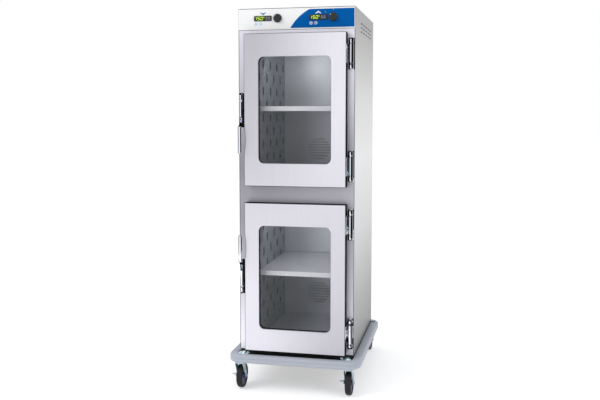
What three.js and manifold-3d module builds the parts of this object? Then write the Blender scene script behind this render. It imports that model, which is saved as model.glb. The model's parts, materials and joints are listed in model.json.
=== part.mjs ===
// Blanket warming cabinet: two heated chambers, one above the other, each behind a glazed door of its own,
// on a wheeled base with a bumper all round. Millimetres, +Z up. The front faces -Y, and the origin lies on
// the floor under the middle of the whole outline.

import * as THREE from 'three';
import { mergeVertices } from 'three/addons/utils/BufferGeometryUtils.js';
import Module from 'manifold-3d';

const wasm = await Module();
wasm.setup();

// Clearances and stock
const touch = 0.3; // gap between pieces that rest on each other
const running = 0.4; // gap round a turning pin, spindle or shaft
const sheet = 1.5; // stainless sheet of the body, doors and chambers
const past = 1; // how far a cutter runs past what it cuts

// Body
const bodyWidth = 600;
const bodyDepth = 730;
const bodyHeight = 1760;
const frameThickness = 6;
const insulation = 36.5; // between the outer casing and a chamber's liner
const sideWall = 95; // outer casing face to the face of a duct panel
const plenumDepth = 110; // behind the chambers, for the fans and heaters
const coverFlange = 18; // turned edges of the top and rear covers
const headerHeight = 130; // body top to the upper door's top
const mullionHeight = 86; // between the two doors
const sillHeight = 10; // body bottom to the lower door
const doorLeftMargin = 43;
const doorRightMargin = 36;

// Cord gland in the rear cover
const glandInset = 90; // body's side to the gland
const glandRise = 90;
const glandThread = 10;
const glandFlange = 16;
const glandCap = 13;
const glandLength = 22;
const glandShoulder = 15; // where the cap starts to taper
const glandNut = 6;

// Side vents, punched near the top of both sides
const ventLength = 48;
const ventHeight = 7;
const ventColumns = 5;
const ventRows = 3;
const ventColumnPitch = 87;
const ventRowPitch = 21;
const ventDrop = 63; // body top to the top row
const ventSetback = 235; // front plane to the first column

// Doors
const doorThickness = 46;
const gasketThickness = 12;
const gasketWidth = 16;
const gasketInset = 12;
const gasketCorner = 1; // inner corner radius
const windowSideMargin = 74.5;
const windowEndMargin = 116;
const windowRadius = 27;
const doorEdgeRadius = 2.5;
const glassThickness = 18;
const glassOverlap = 14; // glass held behind the window's edge
const tunnelStep = 4; // the inner window is this much larger each way
const tunnelWall = 3;
const panWall = 3; // moulded inner pan
const panLip = 4; // the pan's edge reaches this far into the skin
const skinReturn = 9; // depth of the skin's turned edge
const rimWidth = 5; // rolled rim of the window
const rimHeight = 1.2;
const scoopLength = 125; // finger scoop in the door's edge beside the lever
const scoopDepth = 6;

// Chambers
const chamberInset = 36; // door's ends to the chamber's floor and ceiling
const openingLip = 2; // the front opening is this much smaller than the chamber
const chamberRadius = 10;
const ductFlange = 12;
const slotWidth = 28;
const slotHeight = 56;
const slotRowPitch = 70;
const slotColumnPitch = 150;
const slotFirstRow = 100; // chamber floor to the middle of the lowest row
const slotFirstColumn = 54; // front plane to the first slot of the lowest row
const slotMargin = 14; // least sheet left round a slot
const lowerRowCount = 4; // slot rows below the one that carries the shelf
const shelfLip = 24;
const shelfRise = 17; // shelf's top above the slot edge that carries it
const shelfSideGap = 2;
const shelfSetback = 24; // front plane to the shelf's front lip
const shelfBackGap = 18;
const lugWidth = 20;
const lugThickness = 3;
const hookDrop = 9;

// Air circulation, one set behind each chamber
const fanRise = 130; // chamber floor to the fan's axis
const fanRadius = 66;
const fanWidth = 24;
const fanStandoff = 9; // liner to fan wheel
const bladeCount = 6;
const bladeThickness = 2;
const bladeLength = 28;
const bladeRadius = 50; // fan's axis to a blade's middle
const bladeLean = THREE.MathUtils.degToRad(35);
const fanHub = 11;
const fanHubDepth = 16;
const motorRadius = 40;
const motorLength = 42;
const motorPlateSide = 208;
const motorPlateThickness = 2;
const postRadius = 5;
const shaftRadius = 4;
const heaterRadius = 86;
const heaterTube = 4.5;
const heaterSteps = 12; // straight steps round the ring
const legSteps = 6; // and along its two legs
const heaterClearance = 2; // round each heater leg where it passes the motor plate
const heaterGap = THREE.MathUtils.degToRad(63); // angle left open between the heater's two legs
const returnRadius = 66; // round grille in the chamber's back wall
const returnPitch = 16;
const returnSlot = 7;
const supplyMargin = 90; // chamber's ends to the supply ports of the ducts

// Controls
const fasciaHeight = 104;
const fasciaDrop = 3; // body top to the fascia's top
const fasciaSideMargin = 2;
const fasciaThickness = 2;
const fasciaCorner = 3;
const controlWindowMargin = 12; // fascia's edge to the opening behind it
const displayWidth = 92;
const displayHeight = 26;
const displayBezel = 4; // stands this far in front of the fascia
const displayRim = 3.5;
const displayEdge = 1;
const displayBodyDepth = 62;
const displayBodyInset = 3;
const displayEndGap = 127; // fascia's left end to the lower chamber's display
const knobEndGap = 109; // fascia's right end to the upper chamber's knob
const knobOffset = 76; // display's middle to the knob's axis
const controlDrop = 47.6; // fascia's top to the displays' and knobs' middle
const knobRadius = 22;
const knobBase = 8;
const knobEdge = 2.5;
const knobBarWidth = 11;
const knobBarHeight = 9;
const knobBarEdge = 2;
const spindleRadius = 3;
const bushRadius = 8;
const switchSide = 34;
const switchDepth = 30;
const knobTurn = THREE.MathUtils.degToRad(45); // bar's lean at rest

// Hinges
const hingeHeight = 156;
const hingeKnuckle = 94; // middle knuckle, on the door
const hingeInset = 104; // door's end to the hinge's middle
const hingeLeaf = 3;
const hingeReach = 20; // door's edge to the hinge axis
const hingeForward = 22; // front plane to the hinge axis
const barrelRadius = 14;
const barrelNeck = 11;
const barrelTip = 8; // radius at the rounded ends
const leafCorner = 4;
const pinRadius = 4;

// Latches
const latchLength = 180;
const latchWidth = 21;
const latchBack = 12; // front plane to the back of the housing
const latchFront = 67; // front plane to the face of the housing
const latchBase = 4; // base plate on the door's edge
const latchEdge = 3;
const latchRounding = 16.5; // height of the housing's rounded ends
const latchBaseLength = 155;
const leverSlot = 11;
const leverArm = 10;
const leverWidth = 19;
const leverThickness = 13;
const gripEdge = 3;
const gripCorner = 8;
const leverLength = 128; // of the grip below the housing
const leverFront = 94; // front plane to the face of the grip
const leverHub = 10;
const leverPivotRise = 44; // middle of the housing to the pivot
const pivotInset = 1; // housing's side to the end of the pivot pin
const strikeHeight = 60;
const strikeDepth = 7;

// Base
const bumperSide = 44; // bumper beyond the body's sides
const bumperFront = 98; // bumper beyond the front plane
const bumperRear = 47; // bumper beyond the body's back
const bumperRail = 38; // width of the bumper's front and rear rails
const bumperHeight = 40;
const bumperRadius = 68;
const bumperEdge = 5;
const bumperGroove = 1.6;
const grooveHeight = 6;
const bumperSkirt = 8; // bumper's lip below the face that the casters are bolted to
const skirtWall = 8;
const deckHeight = 40; // caster plates to the underside of the body
const crossWidth = 40; // cross members under the body
const crossCount = 4;
const crossHeight = 34;
const crossWall = 3; // the cross members and side rails are channels, open below
const apronThickness = 8;
const apronGap = 6; // apron's end to a caster plate

// Casters
const casterHeight = 155; // floor to the top of the mounting plate
const wheelRadius = 63.5;
const treadWidth = 32;
const hubWidth = 36;
const tyreRadius = 9; // rounding of the tread
const tyreDepth = 17;
const treadFlat = 6.5; // half the width of the tread's flat middle
const rimHalfWidth = 11; // half the wheel's width where the tyre meets its centre
const hubRadius = 15;
const trail = 36;
const casterSideInset = 61; // bumper's side to the swivel axis
const casterFrontInset = 34;
const casterRearInset = 44;
const plateOuter = 30; // swivel axis to the plate's outer side
const plateInner = 46; // and to its inner side
const plateNear = 22; // swivel axis to the end beside the bumper's front or rear
const plateFar = 45; // and to the other end
const plateThickness = 3;
const plateCorner = 20;
const raceRadius = 21;
const raceHeight = 6;
const crownHalf = 22; // half the length of the fork's crown
const crownThickness = 5;
const kingpinRadius = 6;
const kingpinHead = 10;
const kingpinSides = 8;
const legThickness = 3;
const legGap = 1.2; // wheel hub to fork leg
const legEnd = 12;
const axleRadius = 6;
const nutRadius = 10;
const nutLength = 4;
const axleTip = 2; // axle's thread past each nut
const nutSeat = 1; // nut's washer face, pressed into the fork
const brakeThickness = 4;
const brakeArm = 34;
const brakeTread = 17;
const brakeRise = 12; // axle to the tread
const brakeHub = 11;

// Places that follow from the sizes
const halfWidth = bodyWidth / 2;
const plateSeat = casterHeight + touch;
const bumperBottom = plateSeat - bumperSkirt;
const bumperTop = bumperBottom + bumperHeight;
const deckTop = plateSeat + deckHeight;
const bodyBottom = deckTop + touch;
const bodyTop = bodyBottom + bodyHeight;
const casterRearY = bodyDepth + bumperRear - casterRearInset;
const casterFrontY = casterFrontInset - bumperFront;
const rearReach = Math.max(bodyDepth + bumperRear, casterRearY + trail + wheelRadius);
const frontPlane = (bumperFront - rearReach) / 2;
const doorLeft = doorLeftMargin - halfWidth;
const doorRight = halfWidth - doorRightMargin;
const doorMiddle = (doorLeft + doorRight) / 2;
const doorHeight = (bodyHeight - headerHeight - mullionHeight - sillHeight) / 2;
const lowerDoorBottom = bodyBottom + sillHeight;
const upperDoorBottom = lowerDoorBottom + doorHeight + mullionHeight;
const doorFront = -gasketThickness - doorThickness;
const ductFace = halfWidth - sideWall;
const linerHalfWidth = halfWidth - sheet - insulation - sheet;
const chamberHeight = doorHeight - 2 * chamberInset;
const linerFront = frameThickness + touch;
const chamberBack = bodyDepth - plenumDepth;
const latchMiddle = doorLeft - touch - latchBase - latchWidth / 2;
const hingeX = doorRight + hingeReach;
const fasciaTop = bodyTop - fasciaDrop;
const fasciaBottom = fasciaTop - fasciaHeight;
const fasciaFront = -touch - fasciaThickness;
const fasciaSide = halfWidth - fasciaSideMargin;
const lowerDisplayX = displayEndGap - fasciaSide;
const upperDisplayX = fasciaSide - knobEndGap - knobOffset;
const controlMiddle = fasciaTop - controlDrop;
const glandX = glandInset - halfWidth;
const glandZ = bodyBottom + glandRise;

// Materials
function finish(color, metalness, roughness, opacity = 1) {
  const transparent = opacity < 1;
  return new THREE.MeshStandardMaterial({ color, metalness, roughness, opacity, transparent });
}

const stainless = finish(0xd9d7df, 1, 0.38);
const galvanised = finish(0xb4bbc0, 1, 0.5);
const chrome = finish(0xe8ebee, 1, 0.12);
const zinc = finish(0x9db4ba, 1, 0.35);
const glassFinish = finish(0xb9c4c6, 0, 0.05, 0.3);
const whiteFascia = finish(0xeef0f4, 0, 0.4);
const blackPlastic = finish(0x17181b, 0, 0.4);
const blackRubber = finish(0x1f2023, 0, 0.7);
const bumperVinyl = finish(0xa9b2b8, 0, 0.55);
const blackPaint = finish(0x1b1c1f, 0.3, 0.5);
const wheelRubber = finish(0x23252a, 0, 0.75);
const elementSteel = finish(0x6c5f58, 1, 0.5);

// Solids
function toSolid(geometry) {
  const bare = geometry.clone();
  bare.deleteAttribute('normal');
  bare.deleteAttribute('uv');
  const merged = mergeVertices(bare);
  const vertProperties = new Float32Array(merged.attributes.position.array);
  const corners = [];
  const index = merged.index.array;
  for (let i = 0; i < index.length; i += 3) {
    const [a, b, c] = [index[i], index[i + 1], index[i + 2]];
    if (a !== b && b !== c && c !== a) corners.push(a, b, c);
  }
  return new wasm.Manifold(new wasm.Mesh({ numProp: 3, vertProperties, triVerts: new Uint32Array(corners) }));
}

function join(...solids) {
  return solids.reduce((whole, solid) => whole.add(solid));
}

function cut(base, ...tools) {
  return tools.reduce((whole, tool) => whole.subtract(tool), base);
}

function addMesh(parent, name, solid, material) {
  const { vertProperties, triVerts } = solid.getMesh();
  const geometry = new THREE.BufferGeometry();
  geometry.setAttribute('position', new THREE.BufferAttribute(new Float32Array(vertProperties), 3));
  geometry.setIndex(new THREE.BufferAttribute(new Uint32Array(triVerts), 1));
  const mesh = new THREE.Mesh(geometry.toNonIndexed(), material);
  mesh.geometry.computeVertexNormals();
  mesh.name = name;
  parent.add(mesh);
  return mesh;
}

function addGroup(parent, x, y, z) {
  const group = new THREE.Group();
  group.position.set(x, y, z);
  parent.add(group);
  return group;
}

function box(x0, x1, y0, y1, z0, z1) {
  const geometry = new THREE.BoxGeometry(x1 - x0, y1 - y0, z1 - z0);
  geometry.translate((x0 + x1) / 2, (y0 + y1) / 2, (z0 + z1) / 2);
  return toSolid(geometry);
}

function extrude(shape, length, { bevel = 0, steps = 4, bevelSteps = 2 }) {
  const geometry = new THREE.ExtrudeGeometry(shape, {
    depth: length - 2 * bevel,
    curveSegments: steps / 2,
    bevelEnabled: bevel > 0,
    bevelThickness: bevel,
    bevelSize: bevel,
    bevelOffset: -bevel,
    bevelSegments: bevelSteps,
  });
  return geometry.translate(0, 0, bevel);
}

// A shape drawn in X and Z, carried along Y
function prismY(shape, y0, y1, options = {}) {
  return toSolid(extrude(shape, y1 - y0, options).rotateX(Math.PI / 2).translate(0, y1, 0));
}

// A shape drawn in Y and Z, carried along X
function prismX(shape, x0, x1, options = {}) {
  const turn = new THREE.Matrix4().makeBasis(
    new THREE.Vector3(0, 1, 0),
    new THREE.Vector3(0, 0, 1),
    new THREE.Vector3(1, 0, 0),
  );
  return toSolid(extrude(shape, x1 - x0, options).applyMatrix4(turn).translate(x0, 0, 0));
}

// A shape drawn in X and Y, carried along Z
function prismZ(shape, z0, z1, options = {}) {
  return toSolid(extrude(shape, z1 - z0, options).translate(0, 0, z0));
}

// A profile of radius and height pairs, revolved round +Z
function revolve(profile, segments) {
  const points = profile.map(([radius, height]) => new THREE.Vector2(radius, height));
  return new THREE.LatheGeometry(points, segments).rotateX(Math.PI / 2);
}

function cylinder(radius, from, to, segments = 12) {
  return revolve([[0, from], [radius, from], [radius, to], [0, to]], segments);
}

// Turns a revolved geometry so that its axis lies along X or along Y
function alongX(geometry) {
  return geometry.rotateY(Math.PI / 2);
}

function alongY(geometry) {
  return geometry.rotateX(-Math.PI / 2);
}

function rectangle(x0, x1, z0, z1, radius = 0) {
  const shape = new THREE.Shape();
  if (radius === 0) {
    shape.moveTo(x0, z0).lineTo(x1, z0).lineTo(x1, z1).lineTo(x0, z1);
    return shape;
  }
  shape.absarc(x1 - radius, z0 + radius, radius, -Math.PI / 2, 0);
  shape.absarc(x1 - radius, z1 - radius, radius, 0, Math.PI / 2);
  shape.absarc(x0 + radius, z1 - radius, radius, Math.PI / 2, Math.PI);
  shape.absarc(x0 + radius, z0 + radius, radius, Math.PI, Math.PI * 1.5);
  return shape;
}

function circle(x, z, radius) {
  return new THREE.Shape().absarc(x, z, radius, 0, Math.PI * 2);
}

function uprightSlot(x, z, width, height) {
  const radius = width / 2;
  const straight = height / 2 - radius;
  const shape = new THREE.Shape();
  shape.absarc(x, z + straight, radius, 0, Math.PI);
  shape.absarc(x, z - straight, radius, Math.PI, Math.PI * 2);
  return shape;
}

function levelSlot(x, z, width, height) {
  return rectangle(x - width / 2, x + width / 2, z - height / 2, z + height / 2);
}

// An outline with one opening in it
function ringOf(outline, opening) {
  outline.holes.push(opening);
  return outline;
}

// Body: a wrapper of two sides and a floor, a top cover, a rear cover and the front frame
function outerCasing() {
  const sideTop = bodyTop - sheet - touch;
  const inside = halfWidth - sheet;
  const wrapper = new THREE.Shape();
  wrapper.moveTo(-halfWidth, sideTop).lineTo(-halfWidth, bodyBottom).lineTo(halfWidth, bodyBottom);
  wrapper.lineTo(halfWidth, sideTop).lineTo(inside, sideTop).lineTo(inside, bodyBottom + sheet);
  wrapper.lineTo(-inside, bodyBottom + sheet).lineTo(-inside, sideTop);
  const vents = [];
  for (let column = 0; column < ventColumns; column += 1) {
    for (let row = 0; row < ventRows; row += 1) {
      const y = ventSetback + column * ventColumnPitch;
      const z = bodyTop - ventDrop - row * ventRowPitch;
      const slot = levelSlot(y, z, ventLength, ventHeight);
      vents.push(prismX(slot, -bodyWidth, bodyWidth));
    }
  }
  return cut(prismY(wrapper, 0, bodyDepth), ...vents);
}

function topCover() {
  const outside = box(-halfWidth, halfWidth, 0, bodyDepth, bodyTop - sheet, bodyTop);
  const flange = halfWidth - sheet - touch;
  const front = frameThickness + touch;
  const back = bodyDepth - coverFlange - touch;
  const turned = box(-flange, flange, front, back, bodyTop - coverFlange, bodyTop - sheet / 2);
  const room = box(sheet - flange, flange - sheet, front + sheet, back - sheet, bodyBottom, bodyTop - sheet);
  return join(outside, cut(turned, room));
}

function rearCover() {
  const side = halfWidth - sheet - touch;
  const bottom = bodyBottom + sheet + touch;
  const top = bodyTop - sheet - touch;
  const pan = prismY(rectangle(-side, side, bottom, top), bodyDepth - coverFlange, bodyDepth);
  const room = rectangle(sheet - side, side - sheet, bottom + sheet, top - sheet);
  const vents = [];
  for (const floor of [chamberFloor(lowerDoorBottom), chamberFloor(upperDoorBottom)]) {
    for (let z = -motorRadius; z <= motorRadius; z += returnPitch) {
      const slot = levelSlot(0, floor + fanRise + z, 3 * motorRadius, returnSlot);
      vents.push(prismY(slot, bodyDepth - coverFlange, bodyDepth + sheet));
    }
  }
  const glandHole = alongY(cylinder(glandThread + touch, -coverFlange, coverFlange));
  vents.push(toSolid(glandHole.translate(glandX, bodyDepth, glandZ)));
  return cut(pan, prismY(room, bodyDepth - coverFlange - past, bodyDepth - sheet), ...vents);
}

// Where the mains cord enters at the back: a gland with its seal closed
function cordGland() {
  const inner = -sheet - touch;
  const profile = [
    [0, inner - glandNut],
    [glandFlange, inner - glandNut],
    [glandFlange, inner],
    [glandThread, inner],
    [glandThread, touch],
    [glandFlange, touch],
    [glandFlange, touch + glandNut],
    [glandCap, touch + glandNut],
    [glandCap, touch + glandShoulder],
    [glandThread, touch + glandLength],
    [0, touch + glandLength],
  ];
  return toSolid(alongY(revolve(profile, 6)).translate(glandX, bodyDepth, glandZ));
}

function chamberFloor(doorBottom) {
  return doorBottom + chamberInset;
}

function frontFrame() {
  const side = halfWidth - sheet - touch;
  const outline = rectangle(-side, side, bodyBottom + sheet + touch, bodyTop - sheet - touch);
  const openings = [lowerDoorBottom, upperDoorBottom].map((doorBottom) => {
    const floor = chamberFloor(doorBottom) + openingLip;
    const ceiling = chamberFloor(doorBottom) + chamberHeight - openingLip;
    return rectangle(openingLip - ductFace, ductFace - openingLip, floor, ceiling, chamberRadius);
  });
  const controlSide = fasciaSide - controlWindowMargin;
  openings.push(
    rectangle(
      -controlSide,
      controlSide,
      fasciaBottom + controlWindowMargin,
      fasciaTop - controlWindowMargin,
    ),
  );
  const strikes = [lowerDoorBottom, upperDoorBottom].map((doorBottom) => {
    const middle = doorBottom + doorHeight / 2;
    const left = latchMiddle - latchWidth / 2;
    const [low, high] = [middle - strikeHeight / 2, middle + strikeHeight / 2];
    return box(left, left + latchWidth, -strikeDepth, past, low, high);
  });
  const cutters = openings.map((opening) => prismY(opening, -past, frameThickness + past));
  return join(cut(prismY(outline, 0, frameThickness), ...cutters), ...strikes);
}

// Chambers
function chamberLiner(doorBottom) {
  const floor = chamberFloor(doorBottom);
  const ceiling = floor + chamberHeight;
  const side = linerHalfWidth;
  const outside = side + sheet;
  const outline = rectangle(-outside, outside, floor - sheet, ceiling + sheet, chamberRadius + sheet);
  const room = rectangle(-side, side, floor, ceiling, chamberRadius);
  const shell = cut(
    prismY(outline, linerFront, chamberBack + sheet),
    prismY(room, linerFront - past, chamberBack),
  );
  const portInner = ductFace + sheet + touch + ductFlange + touch;
  const ports = [-1, 1].map((end) => {
    const inner = Math.min(end * portInner, end * (side - chamberRadius));
    const outer = Math.max(end * portInner, end * (side - chamberRadius));
    const port = rectangle(inner, outer, floor + supplyMargin, ceiling - supplyMargin);
    return prismY(port, chamberBack - past, chamberBack + 2 * sheet);
  });
  const grille = [];
  for (let z = -returnRadius + returnPitch / 2; z < returnRadius; z += returnPitch) {
    const width = 2 * Math.sqrt(returnRadius ** 2 - z ** 2);
    const slot = levelSlot(0, floor + fanRise + z, width, returnSlot);
    grille.push(prismY(slot, chamberBack - past, chamberBack + 2 * sheet));
  }
  return cut(shell, ...ports, ...grille);
}

const ductFront = linerFront + touch;
const ductBack = chamberBack - touch;

function slotRowMiddle(floor, row) {
  return floor + slotFirstRow + row * slotRowPitch;
}

function slotColumns(row) {
  const columns = [];
  const first = slotFirstColumn + (row % 2) * (slotColumnPitch / 2);
  const last = ductBack - sheet - slotMargin - slotWidth / 2;
  for (let y = first; y <= last; y += slotColumnPitch) columns.push(y);
  return columns;
}

// A slotted panel that hides a side air duct, its front and back edges turned outwards
function ductPanel(doorBottom, end) {
  const floor = chamberFloor(doorBottom) + touch;
  const ceiling = chamberFloor(doorBottom) + chamberHeight - touch;
  const slots = [];
  for (let row = 0; slotRowMiddle(floor, row) + slotHeight / 2 + slotMargin < ceiling; row += 1) {
    const z = slotRowMiddle(chamberFloor(doorBottom), row);
    for (const y of slotColumns(row)) {
      const slot = uprightSlot(y, z, slotWidth, slotHeight);
      slots.push(prismX(slot, -bodyWidth, bodyWidth, { steps: 2 }));
    }
  }
  const near = end * ductFace;
  const far = end * (ductFace + sheet);
  const flangeEnd = end * (ductFace + sheet + ductFlange);
  const face = rectangle(ductFront, ductBack, floor, ceiling);
  const panel = cut(prismX(face, Math.min(near, far), Math.max(near, far)), ...slots);
  const flanges = [ductFront, ductBack - sheet].map((y) => (
    box(Math.min(near, flangeEnd), Math.max(near, flangeEnd), y, y + sheet, floor, ceiling)
  ));
  return join(panel, ...flanges);
}

// A tray shelf whose hooked lugs hang in the duct panels' slots
function shelf(doorBottom) {
  const carriedAt = slotRowMiddle(chamberFloor(doorBottom), lowerRowCount) - slotHeight / 2;
  const top = carriedAt + shelfRise;
  const bottom = top - shelfLip;
  const side = ductFace - shelfSideGap;
  const back = chamberBack - shelfBackGap;
  const tray = box(-side, side, shelfSetback, back, bottom, top);
  const inside = side - sheet;
  const room = box(-inside, inside, shelfSetback + sheet, back - sheet, bottom - past, top - sheet);
  const columns = slotColumns(lowerRowCount);
  const lugs = [];
  const rest = carriedAt + lugWidth / 2 + 2 * touch; // the lugs' corners lie on the slots' rounded ends
  const hookNear = ductFace + sheet + touch;
  const hookFar = hookNear + lugThickness;
  for (const y of [columns[1], columns[columns.length - 1]]) {
    const [y0, y1] = [y - lugWidth / 2, y + lugWidth / 2];
    for (const [near, far] of [[-hookFar, -inside], [inside, hookFar]]) {
      lugs.push(box(near, far, y0, y1, rest, rest + lugThickness));
    }
    for (const [near, far] of [[-hookFar, -hookNear], [hookNear, hookFar]]) {
      lugs.push(box(near, far, y0, y1, rest - hookDrop, rest + lugThickness));
    }
  }
  return join(cut(tray, room), ...lugs);
}

// Fan, motor and heater behind a chamber, drawn with the fan's axis along +Z and turned to face the back
const fanFront = fanStandoff + sheet;
const fanBack = fanFront + fanWidth;
const motorPlateFront = fanBack + fanStandoff;
const motorPlateBack = motorPlateFront + motorPlateThickness;

function facingBack(geometry, floor) {
  return toSolid(alongY(geometry).translate(0, chamberBack, floor + fanRise));
}

function fanMotor(floor) {
  const half = motorPlateSide / 2;
  const plate = extrude(rectangle(-half, half, -half, half), motorPlateThickness, {});
  const solids = [facingBack(plate.translate(0, 0, motorPlateFront), floor)];
  const canEnd = motorPlateBack + motorLength;
  const can = [
    [0, fanBack - fanHubDepth],
    [shaftRadius, fanBack - fanHubDepth],
    [shaftRadius, motorPlateFront],
    [motorRadius, motorPlateFront],
    [motorRadius, canEnd - shaftRadius],
    [motorRadius - shaftRadius, canEnd],
    [0, canEnd],
  ];
  solids.push(facingBack(revolve(can, 10), floor));
  for (const x of [postRadius - half, half - postRadius]) {
    for (const z of [postRadius - half, half - postRadius]) {
      const post = cylinder(postRadius, sheet + touch, motorPlateBack, 4).rotateZ(Math.PI / 4);
      solids.push(facingBack(post.translate(x, z, 0), floor));
    }
  }
  const legHoles = heaterLegs().map(([x, z]) => {
    const hole = cylinder(heaterTube + heaterClearance, fanBack, motorPlateBack + past, 8);
    return facingBack(hole.translate(x, z, 0), floor);
  });
  return cut(join(...solids), ...legHoles);
}

function fanWheel(floor) {
  const bore = shaftRadius + running;
  const bladeWidth = fanWidth - sheet / 2;
  const disc = [
    [bore, fanBack - fanHubDepth],
    [fanHub, fanBack - fanHubDepth],
    [fanHub, fanBack - sheet],
    [fanRadius, fanBack - sheet],
    [fanRadius, fanBack],
    [bore, fanBack],
    [bore, fanBack - fanHubDepth],
  ];
  const solids = [facingBack(revolve(disc, 10), floor)];
  for (let blade = 0; blade < bladeCount; blade += 1) {
    const geometry = new THREE.BoxGeometry(bladeLength, bladeThickness, bladeWidth);
    geometry.rotateZ(bladeLean);
    geometry.translate(bladeRadius, 0, fanFront + bladeWidth / 2);
    geometry.rotateZ((blade / bladeCount) * Math.PI * 2);
    solids.push(facingBack(geometry, floor));
  }
  return join(...solids);
}

function heaterLegs() {
  const reach = heaterRadius * Math.sin(heaterGap / 2);
  const drop = -heaterRadius * Math.cos(heaterGap / 2);
  return [[reach, drop], [-reach, drop]];
}

// A ring element round the fan, with both ends led back through the motor plate
function heater(floor) {
  const middle = (fanFront + fanBack) / 2;
  const legEndZ = motorPlateBack + motorLength / 2;
  const section = new THREE.Shape(circle(0, 0, heaterTube).getPoints(2));
  const points = [];
  for (let step = 0; step <= heaterSteps; step += 1) {
    const angle = -Math.PI / 2 + heaterGap / 2 + ((Math.PI * 2 - heaterGap) * step) / heaterSteps;
    points.push(new THREE.Vector3(heaterRadius * Math.cos(angle), heaterRadius * Math.sin(angle), middle));
  }
  const [first, last] = [points[0].clone(), points[points.length - 1].clone()];
  const bend = 2 * heaterTube;
  const path = new THREE.CatmullRomCurve3([
    first.clone().setZ(legEndZ),
    first.clone().setZ(middle + 2 * bend),
    ...points.slice(1, -1),
    last.clone().setZ(middle + 2 * bend),
    last.clone().setZ(legEndZ),
  ]);
  const steps = heaterSteps + legSteps;
  const tube = new THREE.ExtrudeGeometry(section, { steps, extrudePath: path, bevelEnabled: false });
  return facingBack(tube, floor);
}

// Controls on the fascia: one display and one switch knob for each chamber
function switchX(displayX) {
  return displayX + knobOffset;
}

function controlFascia() {
  const outline = rectangle(-fasciaSide, fasciaSide, fasciaBottom, fasciaTop, fasciaCorner);
  const displays = [lowerDisplayX, upperDisplayX];
  const bodyHalf = displayWidth / 2 - displayBodyInset + touch;
  const bodyRise = displayHeight / 2 - displayBodyInset + touch;
  const windows = displays.map((x) => (
    rectangle(x - bodyHalf, x + bodyHalf, controlMiddle - bodyRise, controlMiddle + bodyRise)
  ));
  const cutters = windows.map((window) => prismY(window, 2 * fasciaFront, past));
  const solids = [cut(prismY(outline, fasciaFront, -touch), ...cutters)];
  const spindles = [];
  for (const x of displays.map(switchX)) {
    const half = switchSide / 2;
    const bush = alongY(cylinder(bushRadius, fasciaFront, switchDepth, 8));
    solids.push(toSolid(bush.translate(x, 0, controlMiddle)));
    const bodyFront = fasciaThickness + touch;
    const [low, high] = [controlMiddle - half, controlMiddle + half];
    solids.push(box(x - half, x + half, bodyFront, bodyFront + switchDepth, low, high));
    const bore = cylinder(spindleRadius + running, 2 * fasciaFront, switchDepth / 2, 8);
    spindles.push(toSolid(alongY(bore).translate(x, 0, controlMiddle)));
  }
  return cut(join(...solids), ...spindles);
}

function displayUnit(x) {
  const half = displayWidth / 2;
  const rise = displayHeight / 2;
  const back = fasciaFront - touch;
  const front = back - displayBezel;
  const bezel = prismY(
    rectangle(x - half, x + half, controlMiddle - rise, controlMiddle + rise, displayRim),
    front,
    back,
    { bevel: displayEdge, bevelSteps: 1, steps: 2 },
  );
  const pane = rectangle(
    x - half + displayRim,
    x + half - displayRim,
    controlMiddle - rise + displayRim,
    controlMiddle + rise - displayRim,
    displayEdge,
  );
  const body = box(
    x - half + displayBodyInset,
    x + half - displayBodyInset,
    back - displayBezel / 4,
    back + displayBodyDepth,
    controlMiddle - rise + displayBodyInset,
    controlMiddle + rise - displayBodyInset,
  );
  return cut(join(bezel, body), prismY(pane, front - past, front + displayBezel / 4, { steps: 2 }));
}

// A round switch knob with a raised finger bar, drawn round +Z and turned to face the front
function knob() {
  const base = [
    [0, 0],
    [knobRadius, 0],
    [knobRadius, knobBase - knobEdge],
    [knobRadius - knobEdge, knobBase],
    [0, knobBase],
  ];
  const barEnd = knobRadius - knobEdge / 2;
  const outline = rectangle(-knobBarWidth / 2, knobBarWidth / 2, -barEnd, barEnd, knobBarWidth / 3);
  const bar = extrude(outline, knobBarHeight + knobBarEdge, { bevel: knobBarEdge, steps: 2, bevelSteps: 1 });
  bar.translate(0, 0, knobBase - knobBarEdge).rotateZ(knobTurn);
  const spindle = cylinder(spindleRadius, fasciaFront - touch - switchDepth / 3, knobBase / 2, 8);
  const solids = [revolve(base, 14), bar, spindle];
  return join(...solids.map((geometry) => toSolid(geometry.rotateX(Math.PI / 2))));
}

// Hinges, drawn round their own axis, with +X away from the door
const knuckleHalf = hingeKnuckle / 2;
const hingeHalf = hingeHeight / 2;

function hingeFrameLeaf() {
  const leafRight = doorRightMargin - hingeReach - fasciaSideMargin;
  const leafLeft = -hingeReach + hingeLeaf + touch + running;
  const leafBack = hingeForward - touch;
  const leaf = rectangle(leafLeft, leafRight, -hingeHalf, hingeHalf, leafCorner);
  const solids = [prismY(leaf, leafBack - hingeLeaf, leafBack, { steps: 2 })];
  const start = knuckleHalf + running;
  const length = hingeHalf - start;
  const flare = start + length * 0.4;
  const shoulder = start + length * 0.8;
  for (const end of [-1, 1]) {
    const profile = [
      [0, start],
      [barrelNeck, start],
      [barrelRadius, flare],
      [barrelRadius, shoulder],
      [barrelTip, hingeHalf],
      [0, hingeHalf],
    ];
    const knuckle = revolve(profile, 8);
    if (end < 0) knuckle.rotateX(Math.PI);
    solids.push(toSolid(knuckle));
    const [webLow, webHigh] = end > 0 ? [flare, shoulder] : [-shoulder, -flare];
    solids.push(box(-barrelNeck, barrelNeck, 0, leafBack - hingeLeaf / 2, webLow, webHigh));
  }
  solids.push(toSolid(cylinder(pinRadius, -knuckleHalf - barrelNeck, knuckleHalf + barrelNeck, 6)));
  return join(...solids);
}

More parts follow.
